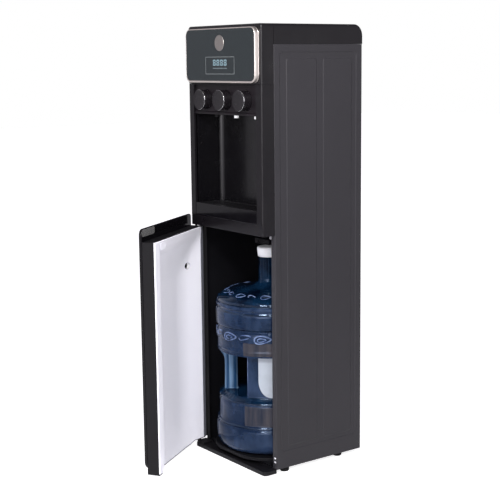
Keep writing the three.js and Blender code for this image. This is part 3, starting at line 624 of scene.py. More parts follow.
# tap panel: textured plate with three openings, its lip turned forward
tp = block(-127.7, 127.7, 6.3, 9.2, 863.6, 934.7)
lipo = [(3, 865.2), (3.35, 864.1), (4.3, 863.6), (9.2, 863.6), (9.2, 871.4), (6.3, 871.4), (4.4, 869.9), (3.2, 868.2)]
tp = csg(tp, adds=[prism("x", lipo, -127.7, 127.7)])
tp = csg(tp, cuts=[prism("y", disc(x, 899, 24.2, 64), 0, 20) for x in (-81, 0, 81)])
piece("tap_plate", tp, "panel", rep=["tap_panel"], bevel=0.45, seg=2, angle=30)

# taps
for i, (nm, x) in enumerate((("left", -81), ("middle", 0), ("right", 81))):
    body = "tap_" + nm
    face = -17.2
    prof = [(0, face + 1.1), (12, face + 1.0), (18.2, face + 0.7), (21.6, face + 0.35)] + arc(22.9, face + 0.7, 0.7, -90, -10, 4)
    prof += [(22.2, face + 0.75), (22.2, face + 4.3), (22.8, face + 4.3)] + arc(22.8, face + 4.9, 0.6, -90, 0, 4) + [(23.4, 13.0)] + arc(22.4, 13.0, 1.0, 0, 90, 4) + [(0, 14.0)]
    piece("knob_" + nm, turned("y", prof, x, 899, 96), "knob", body=body, rep=["tap_knob_" + nm], flat=0, angle=40, weighted=True)
    rp = [(22.5, face + 0.95), (23.5, face + 0.95)] + arc(23.6, face + 1.35, 0.4, -80, 0, 3) + arc(23.6, face + 3.6, 0.4, 0, 80, 3) + [(22.5, face + 4.0)]
    piece("knob_ring_" + nm, turned("y", rp, x, 899, 96, closed=True), "chrome", body=body, rep=["tap_ring_" + nm], flat=0, angle=50, weighted=False)
    stem = turned("y", [(0, 20.8), (14, 20.8)] + arc(14, 21.8, 1.0, -90, 0, 3) + [(15, 57), (14, 58), (0, 58)], x, 899, 40)
    spout = turned("z", [(3.4, 862.0), (3.4, 856.0), (3.7, 855.2), (4.1, 855.0), (4.7, 855.0), (5.2, 855.4), (5.5, 856.2), (5.5, 864), (6.5, 866), (6.5, 889), (5.5, 890), (0, 890), (0, 862)], x, 37, 40)
    piece("outlet_" + nm, csg(stem, adds=[spout]), "black" if i == 0 else "tip", rep=["tap_valve_" + nm], angle=40, weighted=False)

# dispensing recess: one moulded liner with soft inner corners
CX, CY, CR = 121.7, 79, 15
outer = prism("z", rr(-124.2, 124.2, 6.3, 81.5, [0, 0, 17.5, 17.5], 12), 608.7, 868)
spec = (-CX, CX, -20, CY, [0, 0, CR, CR])
loops = [(rr_in(spec, 0, 14), 611.2)]
for k in range(0, 7):
    a = math.pi / 2 * k / 6
    e = 5.0
    loops.append((rr_in(spec, e * (1 - math.cos(a)), 14), 860.5 + e * math.sin(a)))
cuts = [stack("z", loops), block(-130, 130, 5, 9.5, 863.3, 870)] + [prism("z", disc(x, 37, 7.0, 32), 855, 870) for x in (-81, 0, 81)]
piece("recess_liner", csg(outer, cuts=cuts), "cavity", rep=["cavity_liner"], angle=30, flat=0.2)

# drip tray and grille
bar = pillow("y", (-127.4, 127.4, 611.8, 643.5, [1.5, 1.5, 2.5, 2.5]), 0.6, 5.6, 1.4, 0.3, 6, 4)
bowl = prism("z", rr(-120.9, 120.9, 5, 77.8, [0, 0, 14, 14], 8), 611.8, 640.7)
hollow = stack("z", [(rr_in((-118.6, 118.6, 7.6, 75.6, [4, 4, 12, 12]), d, 8), z) for d, z in ((7, 614), (4.2, 614.4), (1.4, 616.0), (0.3, 619), (0, 626), (0, 650))])
piece("tray", csg(bar, adds=[bowl], cuts=[hollow]), "gloss", body="drip_tray", rep=["drip_tray"], angle=30, bevel=0.3, seg=2)
gr = prism("z", [(-120.4, 6.2), (120.4, 6.2), (120.4, 62.4), (105.4, 77.4), (-105.4, 77.4), (-120.4, 62.4)], 641.1, 643.3)
cuts = []
for i in range(-6, 7):
    cuts.append(prism("z", rr(i * 17 - 5.5, i * 17 + 5.5, 12, 70, 5.4, 6), 640, 645))
piece("tray_grille", csg(gr, cuts=cuts), "black", body="drip_grille", rep=["drip_grille"], bevel=0.45, seg=2, angle=30)

# ------------------------------------------------------------------ base
sill = pillow("z", (-150, 150, 0, 36, [10, 10, 0, 0]), 2.2, 12, 0.8, 1.2, 10, 4)
piece("sill", csg(sill, cuts=[block(-147, 147, 4, 37, 1, 9)]), "black", rep=["base_sill"], angle=40, flat=0.2)
pan = csg(block(-146.6, 146.6, 38.3, 302.6, 11.3, 13.7), adds=[block(-135, 135, 36.3, 38.6, 2.6, 13.7)])
piece("pan", pan, "inner", rep=["base_pan"], bevel=0.5, seg=2)
for nm, x, y in (("front_left", -137, 70), ("front_right", 137, 70), ("rear_left", -130, 245), ("rear_right", 130, 245)):
    prof = [(0, 0), (8.6, 0)] + arc(9.4, 1.0, 1.0, -90, -20, 3) + [(11.2, 2.6), (11.5, 3.4), (11.5, 7.4), (11.0, 8.2), (8.4, 10.4), (8, 11), (0, 11)]
    piece("levelling_foot_" + nm, turned("z", prof, x, y, 40), "rubber", rep=["foot_" + nm], flat=0, angle=40, weighted=False)
plat = csg(pillow("z", (-128, 128, 6, 292, [92, 92, 24, 24]), 20, 28.4, 1.0, 2.0, 16, 4), adds=[block(-122, 122, 39, 280, 14, 20.5)],
           cuts=[turned("z", [(0, 26), (96, 26), (101, 30), (101, 34), (0, 34)], 0, 130.2, 72)])
# raised ribs in the seat
ribs = []
for r in (30, 55, 80):
    ribs.append(turned("z", [(r - 1.5, 25.9), (r - 1.0, 26.8), (r + 1.0, 26.8), (r + 1.5, 25.9)], 0, 130.2, 64, closed=True))
piece("platform", plat, "inner", rep=["bottle_platform"], angle=40, flat=0.2)
piece("platform_ribs", merge(*ribs), "inner", flat=0, weighted=False)
for nm, z in (("upper", 39.5), ("lower", 29.4)):
    g = turned("y", [(0, 36.0), (3.4, 36.0), (3.4, 35.7)] + arc(2.3, 35.1, 1.05, -5, -90, 5) + [(0, 34.0)], 145, z, 32)
    g = csg(g, cuts=[block(143, 147, 33, 34.7, z - 0.4, z + 0.4), block(144.6, 145.4, 33, 34.7, z - 2, z + 2)])
    piece("screw_" + nm, g, "chrome", rep=["flange_screw_" + nm], angle=40, weighted=False)

# ------------------------------------------------------------------ hinge, catch, switch
br = csg(pillow("z", (-146, -112, 6.4, 34, 3), 588.3, 591, 0.4, 0.4, 5, 2), adds=[turned("z", [(0, 571), (2.4, 571), (3, 571.8), (3, 589), (0, 589)], PX, PY, 24)])
piece("hinge_plate_top", br, "black", rep=["hinge_bracket_top"], angle=35)
br = csg(pillow("z", (-149.4, -118, 2, 34, [8, 4, 4, 4]), 12.3, 16, 0.5, 0.5, 6, 2), adds=[turned("z", [(0, 15), (3, 15), (3, 51), (2.4, 52), (0, 52)], PX, PY, 24)])
piece("hinge_plate_bottom", br, "black", rep=["hinge_bracket_bottom"], angle=35)
ct = csg(block(77, 131, 31.5, 52, 561, 573.5), adds=[block(94, 114, 39.4, 50, 573, 588)], cuts=[prism("y", rr(90, 118, 563.5, 571, 2, 4), 30, 38)])
piece("catch", ct, "dark", rep=["door_catch"], bevel=0.8, seg=3)
piece("catch_magnet", pillow("y", (91, 117, 564.2, 570.3, 1), 33, 37.5, 0.4, 0.2, 4, 2), "dark", flat=0)
piece("switch_plunger", turned("z", [(0, 576), (1.2, 576), (1.9, 576.4), (2.3, 577.3), (2.3, 584.6), (0, 584.6)], 139.5, 31.2, 28), "dot", rep=["door_switch"], flat=0, angle=40, weighted=False)

# ------------------------------------------------------------------ door
DZ0, DZ1 = 32.0, 610.6
DS = (-149, 149, DZ0, DZ1, [8, 20, 14, 9])
loops = []
for k in range(9):
    a = math.pi / 2 * k / 8
    loops.append((rr_in(DS, 3.4 * (1 - math.sin(a)), 12), -15 + 3.4 * (1 - math.cos(a))))
loops += [(rr_in(DS, 0, 12), -8.0), (rr_in(DS, 0.3, 12), -7.3), (rr_in(DS, 1.0, 12), -7.0)]
skin = stack("y", loops)
piece("door_skin", skin, "gloss", body="door", at=DOOR, rep=["door_panel"], flat=0, angle=40)

y0, y1 = -6.7, 24.6
f = prism("z", rr(-148.7, 148.7, y0, y1, [0.6, 1.0, 1.0, 1.2], 6), 39, 580.5)
f = csg(f, cuts=[block(-129.2, 143, y0 - 1, y1 + 1, 42, 575.5), block(-112, 118, y0 - 1, y1 + 1, 38, 43),
                 prism("z", [(-143.4, y1 + 2), (-143.4, y1 - 0.1), (-129, y1 - 6.2), (-129, y1 + 2)], 42.4, 575.4),
                 prism("z", [(-143.4, y1 + 2), (-143.4, y1 - 0.1), (-111, y1 - 13.4), (-111, y1 + 2)], 20, 42.6),
                 prism("z", disc(PX, PY, 3.4, 20), 562, 590), prism("z", disc(PX, PY, 3.4, 20), 30, 60)],
        adds=[block(140.5, 148.7, y0, y1, 21.1, 45), block(131, 141, y0, y1, 21.1, 24)])
piece("door_rails", f, "black", body="door", at=DOOR, rep=["door_frame"], bevel=0.7, seg=3, angle=35)

# inner liner: one vacuum formed white sheet
Y1 = 26.4


def belly(x, z):
    d = 32.0
    d = smin(d, (x + 141.0) * 0.399, 12)
    d = smin(d, (122.0 - x) * 2.6, 14)
    d = smin(d, 21.5 + (z - 22.6) * 0.45, 6)
    d = smin(d, max(0.0, 1.2 * smooth((548 - z) / 3)) + (572.0 - z) * 0.34, 9)
    d = -smin(-d, 0.0, 4)
    if d < 0.02:
        d = 0.0
    # soft outer edges
    if x < -142.9:
        d += 1.4 * (1 - math.sqrt(max(1 - ((x + 142.9) / 6.05) ** 2, 0)))
    if x > 146.9:
        d += 2 - math.sqrt(max(4 - (x - 146.9) ** 2, 0))
    if z > 578.5:
        d += 2 - math.sqrt(max(4 - (z - 578.5) ** 2, 0))
    return Y1 - d


xl = levels(-148.9, 148.9, [(-146, 2.7, 0.6), (-138, 12, 2), (-62, 20, 2.5), (-88.5, 16, 2.0), (110, 14, 1.6), (147.6, 1.2, 0.4)], 9)
zl = levels(34, 580.5, [(486, 22, 2.0), (540, 24, 3.0), (579.3, 1.2, 0.4)], 18)


def foot(x):
    """lower edge of the sheet: hangs lower where the belly is deep"""
    if x > 127.5:
        return 25.0
    d = min(22.0, max(0.0, min((x + 141.0) * 0.399, (122.0 - x) * 2.6)))
    return min(28.6, 41.6 - 0.86 * d) if x < 0 else 41.6 - 0.86 * d


V, F = [], []
for z in zl:
    for x in xl:
        q = z if z >= 62 else foot(x) + (z - 34) / 28 * (62 - foot(x))
        V.append((x, belly(x, q), q))
nx = len(xl)
for j in range(len(zl) - 1):
    for i in range(nx - 1):
        F.append((j * nx + i, j * nx + i + 1, (j + 1) * nx + i + 1, (j + 1) * nx + i))
front = (V, F)
# thickness, then the round hole
me_v = [(x, y - 1.0, z) for x, y, z in V]
edge = {}
for t in F:
    for a, b in zip(t, t[1:] + t[:1]):
        if (b, a) in edge:
            del edge[(b, a)]
        else:
            edge[(a, b)] = 1
o = len(V)
F2 = list(F) + [tuple(i + o for i in reversed(t)) for t in F] + [(b, a, a + o, b + o) for a, b in edge]
used = sorted({i for t in F2 for i in t})
remap = {v: k for k, v in enumerate(used)}
allv = V + me_v
sheet_geo = ([allv[i] for i in used], [tuple(remap[i] for i in t) for t in F2])


def rolled_edge_shade_mask(f):
    """the rolled hinge side of the sheet is painted grey: painted shade where the edge turns away from the light"""
    c = f.calc_center_median()
    dx, dy = c.x * 1000 - OX - PX, c.y * 1000 - OY - PY
    return 1 if PX + dx * _c - dy * _s < -133.5 else 0


sheet_geo = csg(sheet_geo, cuts=[prism("y", disc(-88.5, 486, 9.6, 48), -12, 20)])
piece("liner_sheet", sheet_geo, "liner", body="door", at=DOOR, rep=["door_liner"], flat=0, angle=38, weighted=True,
      mats=["liner", "seal"], split=rolled_edge_shade_mask)
# collar lining the round hole, cut off along the slope
co = prism("y", disc(-88.5, 486, 9.55, 48), 1.0, 16)
ci = prism("y", disc(-88.5, 486, 8.6, 48), -4, 18)
piece("hole_collar", csg(co, cuts=[ci, prism("z", [(-115, 16.3), (-60, -5.65), (-60, 40), (-115, 40)], 460, 510)]), "white", body="door", at=DOOR, angle=40, weighted=False)
# soft seal down the hinge side, on the flange of the sheet
piece("hinge_side_seal", pillow("z", (-148.7, -144.6, 25.2, 28.6, [0.6, 0.6, 1.5, 1.5]), 29, 579.5, 0.8, 0.8, 6, 4), "rubber", body="door", at=DOOR, flat=0, angle=40)
# black edging folded under the foot of the sheet
V, F = [], []
for x in [q for q in xl if -141 < q < 127.4]:
    z, y = foot(x), belly(x, foot(x))
    V += [(x, y + 0.5, z - 1.4), (x, y + 0.5, z + 0.2), (x, y - 1.6, z + 0.2), (x, y - 1.6, z - 1.4)]
k = len(V) // 4
for i in range(k - 1):
    F += [(4 * i + j, 4 * i + (j + 1) % 4, 4 * i + 4 + (j + 1) % 4, 4 * i + 4 + j) for j in range(4)]
F += [(3, 2, 1, 0), (4 * k - 4, 4 * k - 3, 4 * k - 2, 4 * k - 1)]
piece("foot_edging", (V, F), "black", body="door", at=DOOR, flat=0, angle=40, weighted=False)

pad = pillow("y", (80, 147, 592.5, 609, [3, 3, 5, 3]), -6.7, -4.6, 0.2, 0.7, 6, 4)
piece("door_pad", pad, "felt", body="door", at=DOOR, rep=["door_bumper_pad"], flat=0)
piece("strike", csg(pillow("y", (90, 118, 559, 575, 2), 26.6, 27.5, 0.1, 0.4, 5, 3), cuts=[prism("y", disc(95, 567, 1.6, 20), 27.1, 30), prism("y", disc(113, 567, 1.6, 20), 27.1, 30)]),
      "liner", body="door", at=DOOR, rep=["door_strike"], flat=0.1, angle=40)

# ------------------------------------------------------------------ bottle
BY = 130.2
PROF = [(0, 36), (60, 35.6), (92, 34.2), (99, 32.6), (103, 30.2), (107, 28.7), (112, 28.8), (118, 30.4), (123.5, 33.6), (128, 38.6), (131, 45), (133, 53), (134.2, 63), (134.5, 76),
        (134.3, 86), (133.4, 90.2), (131.4, 92.4), (130.0, 93.8), (129.8, 95.0), (131.0, 96.6), (131.8, 97.8), (131.3, 99.2), (130.8, 100.6), (129.2, 101.8), (128.0, 102.8), (128.2, 106), (128.6, 120), (128.5, 140),
        (128.2, 149), (127.0, 152.4), (126.0, 154.4), (126.2, 156), (127.5, 157.4), (127.0, 158.8), (126.5, 160.2), (125.2, 161.6), (121.8, 163.4), (118, 166.4), (115.2, 169.6), (113.9, 172.6), (113.5, 176), (113.5, 200), (113.5, 236),
        (113.7, 246), (114.8, 252), (117.4, 258), (121.2, 264), (125.4, 270), (128.4, 274.4), (129.4, 276.4), (129.9, 277.1), (130.0, 277.8), (129.2, 278.8), (129.2, 280), (130.8, 281.6), (131.0, 282.8), (129.6, 284.2), (129.8, 286),
        (131, 288.4), (131.3, 300), (131.2, 309), (130.8, 311.4), (131.4, 313.6), (131.8, 318), (131.8, 328), (131.4, 333), (130.6, 336.6), (129.2, 338.8), (128.9, 340.5), (129.6, 342.4), (131.6, 344.2), (133.4, 346.2),
        (134.2, 349), (134.5, 356), (134.5, 372), (134.3, 379), (133.8, 381.0), (133.2, 382.6), (132.6, 384.2), (131.9, 385.8), (130.6, 388), (131.1, 390.2), (132.5, 392), (133.1, 394.6), (132.6, 396.8), (130.8, 398.8), (129.0, 400.2), (128.8, 401.8),
        (130.3, 403.0), (130.7, 404.2), (130.2, 405.6), (129.7, 407.0), (129.2, 408.4), (127.0, 411.0), (123.6, 413.8), (118, 417.6), (111, 421.6), (104, 424.4), (92, 426.8), (78, 428.4), (64, 430.2), (54, 432.0), (46, 434.0),
        (38, 436.8), (31.5, 440.2), (27.4, 444.2), (25.2, 448.8), (24.5, 454), (24.5, 500), (24.5, 508), (20, 508), (0, 508)]
dense = [PROF[0]]
for a, b in zip(PROF, PROF[1:]):
    L = math.hypot(b[0] - a[0], b[1] - a[1])
    m = max(1, int(L // 5))
    if a[0] < 60 and b[0] < 60 and a[1] < 60:
        m = 1
    for i in range(1, m + 1):
        dense.append((a[0] + (b[0] - a[0]) * i / m, a[1] + (b[1] - a[1]) * i / m))
GD = math.atan2(-0.806, -0.592)
NT = 180


def wrap(a):
    return (a + math.pi) % (2 * math.pi) - math.pi


def relief(th, r, z):
    """small changes of radius: panels, ribs and raised marks in the blown wall"""
    d = 0.0
    a = math.degrees(wrap(th - GD))
    # facets of the lower and upper body, each a shallow panel
    q = abs(((a - 59.5) % 45) - 22.5)
    if 102 < z < 152:
        d -= 1.7 * smooth((20.5 - q) / 2.0) * smooth((z - 104) / 4) * smooth((150 - z) / 4)
    if 286 < z < 312:
        d -= 1.5 * smooth((20.5 - q) / 2.0) * smooth((z - 288) / 4) * smooth((310 - z) / 4)
    # leaf shaped marks round the upper body and on the shoulder
    if 308 < z < 338:
        u = ((a - 50) % 30) - 15
        v = z - 322.5 + u * 0.55
        e = math.sqrt((u / 10.5) ** 2 + (v / 9.0) ** 2)
        d += 2.2 * smooth((1.12 - abs(e - 0.76) * 3.0)) * (1 if e < 1.3 else 0)
    if 412 < z < 426 and 92 < r < 119:
        u = ((a - 56) % 30) - 15
        v = (r - 105) * 1.0 + u * 0.45
        e = math.sqrt((u / 9.5) ** 2 + (v / 8.0) ** 2)
        d += 1.8 * smooth((1.1 - abs(e - 0.75) * 3.0)) * (1 if e < 1.3 else 0)
    # fine upright ribs at the foot of the grip
    if 160 < z < 172 and abs(a) < 44:
        d += 1.3 * (0.5 + 0.5 * math.cos(math.radians(a) * 62)) * smooth((z - 160) / 3) * smooth((172 - z) / 3)
    # wall is never quite true
    d += 0.35 * math.sin(3 * th + z * 0.021) + 0.25 * math.sin(7 * th - z * 0.05)
    if r < 60:
        d = 0.35 * math.cos(22 * th) if z > 456 and 24 < r < 25 else 0.0
    return d


V, F, idx = [], [], []
for k, (r, z) in enumerate(dense):
    p, q = dense[max(k - 1, 0)], dense[min(k + 1, len(dense) - 1)]
    tx, tz = q[0] - p[0], q[1] - p[1]
    L = math.hypot(tx, tz) or 1
    nr, nz = tz / L, -tx / L
    if r < 1e-6:
        idx.append([len(V)] * NT)
        V.append((0, BY, z))
        continue
    row = []
    for i in range(NT):
        th = 2 * math.pi * i / NT
        d = relief(th, r, z)
        re = r + d * nr
        if 236 < z < 276.8:
            # away from the bar the waist stays straight up to a ledge under the upper body
            re += (113.5 - re) * smooth((abs(math.degrees(wrap(th - GD))) - 45) / 5)
        row.append(len(V))
        V.append((re * math.cos(th), BY + re * math.sin(th), z + d * nz))
    idx.append(row)
for a, b in zip(idx, idx[1:]):
    for i in range(NT):
        q = [a[i], a[(i + 1) % NT], b[(i + 1) % NT], b[i]]
        q = [v for j, v in enumerate(q) if v not in q[:j]]
        if len(q) > 2:
            F.append(tuple(q))
body_geo = (V, F)
# the grip: a pocket round an upright bar
gc, gs = math.cos(GD), math.sin(GD)


def gat(r, t):
    return (gc * r - gs * t, BY + gs * r + gc * t)


half = [(55.0, 0), (55.0, 120), (150, 120), (150, 9.0), (113.9, 9.5), (112.2, 12.6), (109.2, 15.2), (105, 16.7), (100, 17.2), (89, 17.2), (85, 16.2), (82, 13.6), (80.3, 10), (79.8, 6), (79.8, 0)]
outl = [gat(r, t) for r, t in half] + [gat(r, -t) for r, t in reversed(half[1:-1])]
cutter = prism("z", outl, 171, 276.9)
bm = bmesh.new()
vs = [bm.verts.new(v) for v in cutter[0]]
for t in cutter[1]:
    bm.faces.new([vs[i] for i in t])
bm.normal_update()
cap_edges = [e for e in bm.edges if abs(e.verts[0].co.z - e.verts[1].co.z) < 1e-6]
bmesh.ops.bevel(bm, geom=cap_edges, offset=5.0, segments=4, profile=0.5, affect="EDGES", clamp_overlap=True)
bmesh.ops.triangulate(bm, faces=[f for f in bm.faces if len(f.verts) > 4])
bm.verts.index_update()
cutter = ([tuple(v.co) for v in bm.verts], [tuple(v.index for v in f.verts) for f in bm.faces])
bm.free()
body_geo = csg(body_geo, cuts=[cutter])


def bottle_painted_light_split(f):
    c = f.calc_center_median()
    x, y, z = c.x * 1000 - OX, c.y * 1000 - OY - BY, c.z * 1000
    if 403.4 < z < 408.6 or 380.2 < z < 386 or 157.2 < z < 160.8 or 97.4 < z < 101:
        return 4
    # shoulder, the ledge under the grip and the groove under the big ring: darker blue, painted shade
    if z > 400.5 or (157 < z < 171.5) or (342 < z < 346):
        return 3
    a = math.degrees(math.atan2(y, x))
    # facets on the half of the bottle on the label side: smoky tone, painted reflection
    if -66.8 < a < 113.2 and (103.5 < z < 151.5 or 280 < z < 313):
        return 2
    # upright grip bar: lighter blue, painted light shining through it
    return 1 if 168 < z < 277 and x * gc + y * gs > 79 and abs(-x * gs + y * gc) < 18.5 else 0


piece("bottle_shell", body_geo, "bottle", body="bottle", rep=["bottle"], flat=0, angle=36, weighted=False, mats=["bottle", "bar", "facet", "deep", "gleam"], split=bottle_painted_light_split)


def bead(path, r, k=6):
    """closed round bead along a closed path on the wall; path gives (azimuth in degrees, radius, height)"""
    P = [Vector((q * math.cos(math.radians(a)), BY + q * math.sin(math.radians(a)), z)) for a, q, z in path]
    Vb, Fb, m = [], [], len(path)
    for i, p in enumerate(P):
        t = (P[(i + 1) % m] - P[i - 1]).normalized()
        a = math.radians(path[i][0])
        nn = Vector((math.cos(a), math.sin(a), 0))
        nn = (nn - t * nn.dot(t)).normalized()
        bb = t.cross(nn)
        for j in range(k):
            w = 2 * math.pi * j / k
            Vb.append(tuple(p + nn * (r * math.cos(w)) + bb * (r * math.sin(w))))
    for i in range(m):
        for j in range(k):
            Fb.append((i * k + j, i * k + (j + 1) % k, ((i + 1) % m) * k + (j + 1) % k, ((i + 1) % m) * k + j))
    return Vb, Fb


leaves = []


def swirl(a0, rad, z0, la, lz, tilt, thick, flat=1.0):
    """comma shaped loop pressed out of the wall"""
    out = []
    for i in range(48):
        t = 2 * math.pi * i / 48
        u, v = la * math.cos(t), lz * math.sin(t) * (1 - 0.45 * math.cos(t))
        z = z0 + v + u * tilt
        q = rad if flat else rad - (z - z0) / 0.42
        out.append((a0 + u, q, z if flat else 424.5 - (q - 104) * 0.42))
    leaves.append(bead(out, thick))


for a0 in range(-96, 264, 40):
    swirl(a0 + 12, 131.6, 323.5, 9.0, 8.8, 0.16, 2.1)
    swirl(a0 + 11, 131.6, 322.6, 4.6, 4.0, 0.20, 1.7)
    swirl(a0 + 32, 131.6, 327.0, 6.6, 5.2, 0.45, 1.9)
for a0 in range(-87, 273, 36):
    swirl(a0 + 10, 106.5, 423.5, 6.4, 2.7, 0.10, 1.2, 0)
    swirl(a0 + 27, 106.5, 423.5, 5.4, 1.9, -0.14, 1.3, 0)
piece("bottle_marks", merge(*leaves), "mark", body="bottle", flat=0, angle=80, weighted=False)
# upright bead where the flat of the grip meets the round of the waist
eb = []
for sgn in (-1, 1):
    a = GD + sgn * math.acos(55.0 / 113.5)
    eb.append(turned("z", [(0, 174.5), (0.9, 175.5), (0.9, 275.5), (0, 276.5)], 113.2 * math.cos(a), BY + 113.2 * math.sin(a), 10))
piece("grip_edges", merge(*eb), "mark", body="bottle", flat=0, angle=60, weighted=False)

# bare label round part of the waist
LA0, LA1, LZ0, LZ1 = math.radians(-50.8), math.radians(20), 172, 274
V, F = [], []
nu, nv = 40, 22
for j in range(nv + 1):
    for i in range(nu + 1):
        V.append((LA0 + (LA1 - LA0) * i / nu, LZ0 + (LZ1 - LZ0) * j / nv))


def label_geo():
    Vo, Fo = [], []
    rows = nv + 1
    for rad in (114.25, 114.0):
        for j in range(rows):
            z = LZ0 + (LZ1 - LZ0) * j / nv
            # soft lower corners
            t = max(0.0, 1 - (z - LZ0) / 44)
            ins = math.radians(17) * (1 - math.sqrt(max(0, 1 - t * t)))
            for i in range(nu + 1):
                th = LA0 + ins + (LA1 - LA0 - 2 * ins) * i / nu
                Vo.append((rad * math.cos(th), BY + rad * math.sin(th), z))
    w = nu + 1
    o = w * rows
    for j in range(rows - 1):
        for i in range(nu):
            a = j * w + i
            Fo.append((a, a + 1, a + w + 1, a + w))
            Fo.append((o + a, o + a + w, o + a + w + 1, o + a + 1))
    for i in range(nu):
        Fo.append((i, o + i, o + i + 1, i + 1))
        a = (rows - 1) * w + i
        Fo.append((a, a + 1, o + a + 1, o + a))
    for j in range(rows - 1):
        a = j * w
        Fo.append((a, a + w, o + a + w, o + a))
        a = j * w + nu
        Fo.append((a, o + a, o + a + w, a + w))
    return Vo, Fo


piece("bottle_label", label_geo(), "label", body="bottle", flat=0, angle=40, weighted=False)

# ribbed push-on cap
V, F, idx = [], [], []
NC = 240
cprof = [(0, 508.3), (25.4, 508.3), (26.3, 508.8), (26.6, 509.8), (26.9, 514), (27.2, 516), (27.6, 522), (28.1, 526.6), (28.4, 529.0), (28.1, 530.8), (27.0, 532.0), (24.2, 532.8), (15, 533.2), (0, 533.3)]
for r, z in cprof:
    if r < 1e-6:
        idx.append([len(V)] * NC)
        V.append((0, BY, z))
        continue
    row = []
    for i in range(NC):
        th = 2 * math.pi * i / NC
        d = 0.45 * math.cos(48 * th) if 515 < z < 529 and r > 26 else 0.0
        row.append(len(V))
        V.append(((r + d - (0.45 if 515 < z < 529 and r > 26 else 0)) * math.cos(th), BY + (r + d - (0.45 if 515 < z < 529 and r > 26 else 0)) * math.sin(th), z))
    idx.append(row)
for a, b in zip(idx, idx[1:]):
    for i in range(NC):
        q = [a[i], a[(i + 1) % NC], b[(i + 1) % NC], b[i]]
        q = [v for j, v in enumerate(q) if v not in q[:j]]
        if len(q) > 2:
            F.append(tuple(q))
piece("cap_ribbed", (V, F), "cap", body="bottle_cap", rep=["bottle_cap"], flat=0, angle=50, weighted=False)

# ------------------------------------------------------------------ condenser behind the upper back plate
pts = []
x, y, z0, nrow, pitch = 112, 295.6, 700, 7, 40
for i in range(nrow):
    s = 1 if i % 2 else -1
    z = z0 + i * pitch
    pts += [(s * (x - 8), y, z), (s * 60, y, z), (0, y, z), (-s * 60, y, z), (-s * (x - 8), y, z)]
    if i < nrow - 1:
        pts += [(-s * (x + 12), y, z + 1), (-s * (x + 14), y, z + pitch * 0.5), (-s * (x + 12), y, z + pitch - 1)]
tube("condenser_tube", pts, 2.4, "black", rep=["condenser"], res=6)
wires = []
for i in range(34):
    xx = -107 + i * 214 / 33
    for yy in (292.6, 298.4):
        wires.append(turned("z", [(0, 692), (0.65, 692.2), (0.65, 947.8), (0, 948)], xx, yy, 8))
piece("condenser_wires", merge(*wires), "black", flat=0, angle=60, weighted=False)
st = []
for a in (-78, 78):
    st.append(pillow("y", (a - 4, a + 4, 692, 948, 1.5), 292.9, 294.1, 0.2, 0.2, 4, 2))
    for z in (720, 930):
        st.append(turned("y", [(0, 287.3), (4.6, 287.3), (4.6, 288.2), (3.0, 288.8), (3.0, 293.2), (0, 293.2)], a, z, 20))
piece("condenser_straps", merge(*st), "black", flat=0, angle=40, weighted=False)

# rear rocker switches with their bezel
bz = pillow("y", (-117.5, -42.5, 987.5, 1014.5, 3), 287.5, 289.8, 0.2, 0.9, 6, 4)
bz = csg(bz, adds=[prism("y", rr(-115, -85, 990.4, 1011.6, 2, 3), 276, 288), prism("y", rr(-75, -45, 990.4, 1011.6, 2, 3), 276, 288)],
         cuts=[block(-100 - 11.6, -100 + 11.6, 277.5, 292, 993.4, 1008.6), block(-60 - 11.6, -60 + 11.6, 277.5, 292, 993.4, 1008.6)])
piece("switch_bezel", bz, "black", rep=["rocker_bezel"], bevel=0.3, seg=2, angle=40)
for nm, x in (("hot", -100), ("cold", -60)):
    ro = [(281, 995), (289.2, 994.6), (290.6, 995.1), (291.6, 996.2), (291.0, 998.4), (290.1, 1001), (289.2, 1004), (288.8, 1006.4), (288.2, 1007.3), (281, 1007)]
    g = prism("x", ro, x - 11.2, x + 11.2)
    g = csg(g, cuts=[prism("x", disc(291.4, 998.6, 0.5, 10), x - 4, x + 4), prism("y", disc(x, 1004.6, 1.5, 18), 288.6, 292)])
    piece("rocker_cap_" + nm, g, "gloss", body="rocker_" + nm, rep=["rocker_" + nm], bevel=0.3, seg=2, angle=30)
piece("inlet_gland", turned("y", [(3.6, 276), (8, 276), (8, 287.5), (10.6, 287.6), (11, 288), (11, 289.6), (10.4, 290.1), (8.2, 290.6), (7.6, 292), (7.6, 293.4), (6.9, 293.8), (6.9, 294.8), (7.3, 295.2), (6.6, 295.8), (6.5, 296.8), (6.9, 297.2), (6.2, 297.8), (6.1, 298.8), (6.5, 299.2), (5.8, 299.8), (5.6, 302.6), (5.2, 303), (3.6, 303)], -100, 640, 40, closed=True),
      "rubber", rep=["cord_inlet_gland"], flat=0, angle=35, weighted=False)
piece("drain_socket", turned("y", [(4, 262), (9, 262), (9, 288), (4, 288)], 30, 625, 40, closed=True), "white", rep=["drain_spout"], flat=0, angle=35, weighted=False)
V, F, idx = [], [], []
for r, y, k in [(0, 276, 0), (3.6, 276, 0), (3.6, 288.4, 0), (11.0, 288.4, 0), (11.4, 289, 1), (11.4, 300.6, 1), (10.6, 301.9, 1), (9.6, 302.4, 0), (0, 302.5, 0)]:
    if r < 1e-6:
        idx.append([len(V)] * 96)
        V.append((30, y, 625))
        continue
    row = []
    for i in range(96):
        th = 2 * math.pi * i / 96
        q = r - (0.55 * (0.5 - 0.5 * math.cos(24 * th)) if k else 0)
        row.append(len(V))
        V.append((30 + q * math.cos(th), y, 625 + q * math.sin(th)))
    idx.append(row)
for a, b in zip(idx, idx[1:]):
    for i in range(96):
        q = [a[i], a[(i + 1) % 96], b[(i + 1) % 96], b[i]]
        q = [v for j, v in enumerate(q) if v not in q[:j]]
        if len(q) > 2:
            F.append(tuple(q))
piece("drain_screw", (V, F), "black", body="drain_plug", rep=["drain_plug"], flat=0, angle=40, weighted=False)

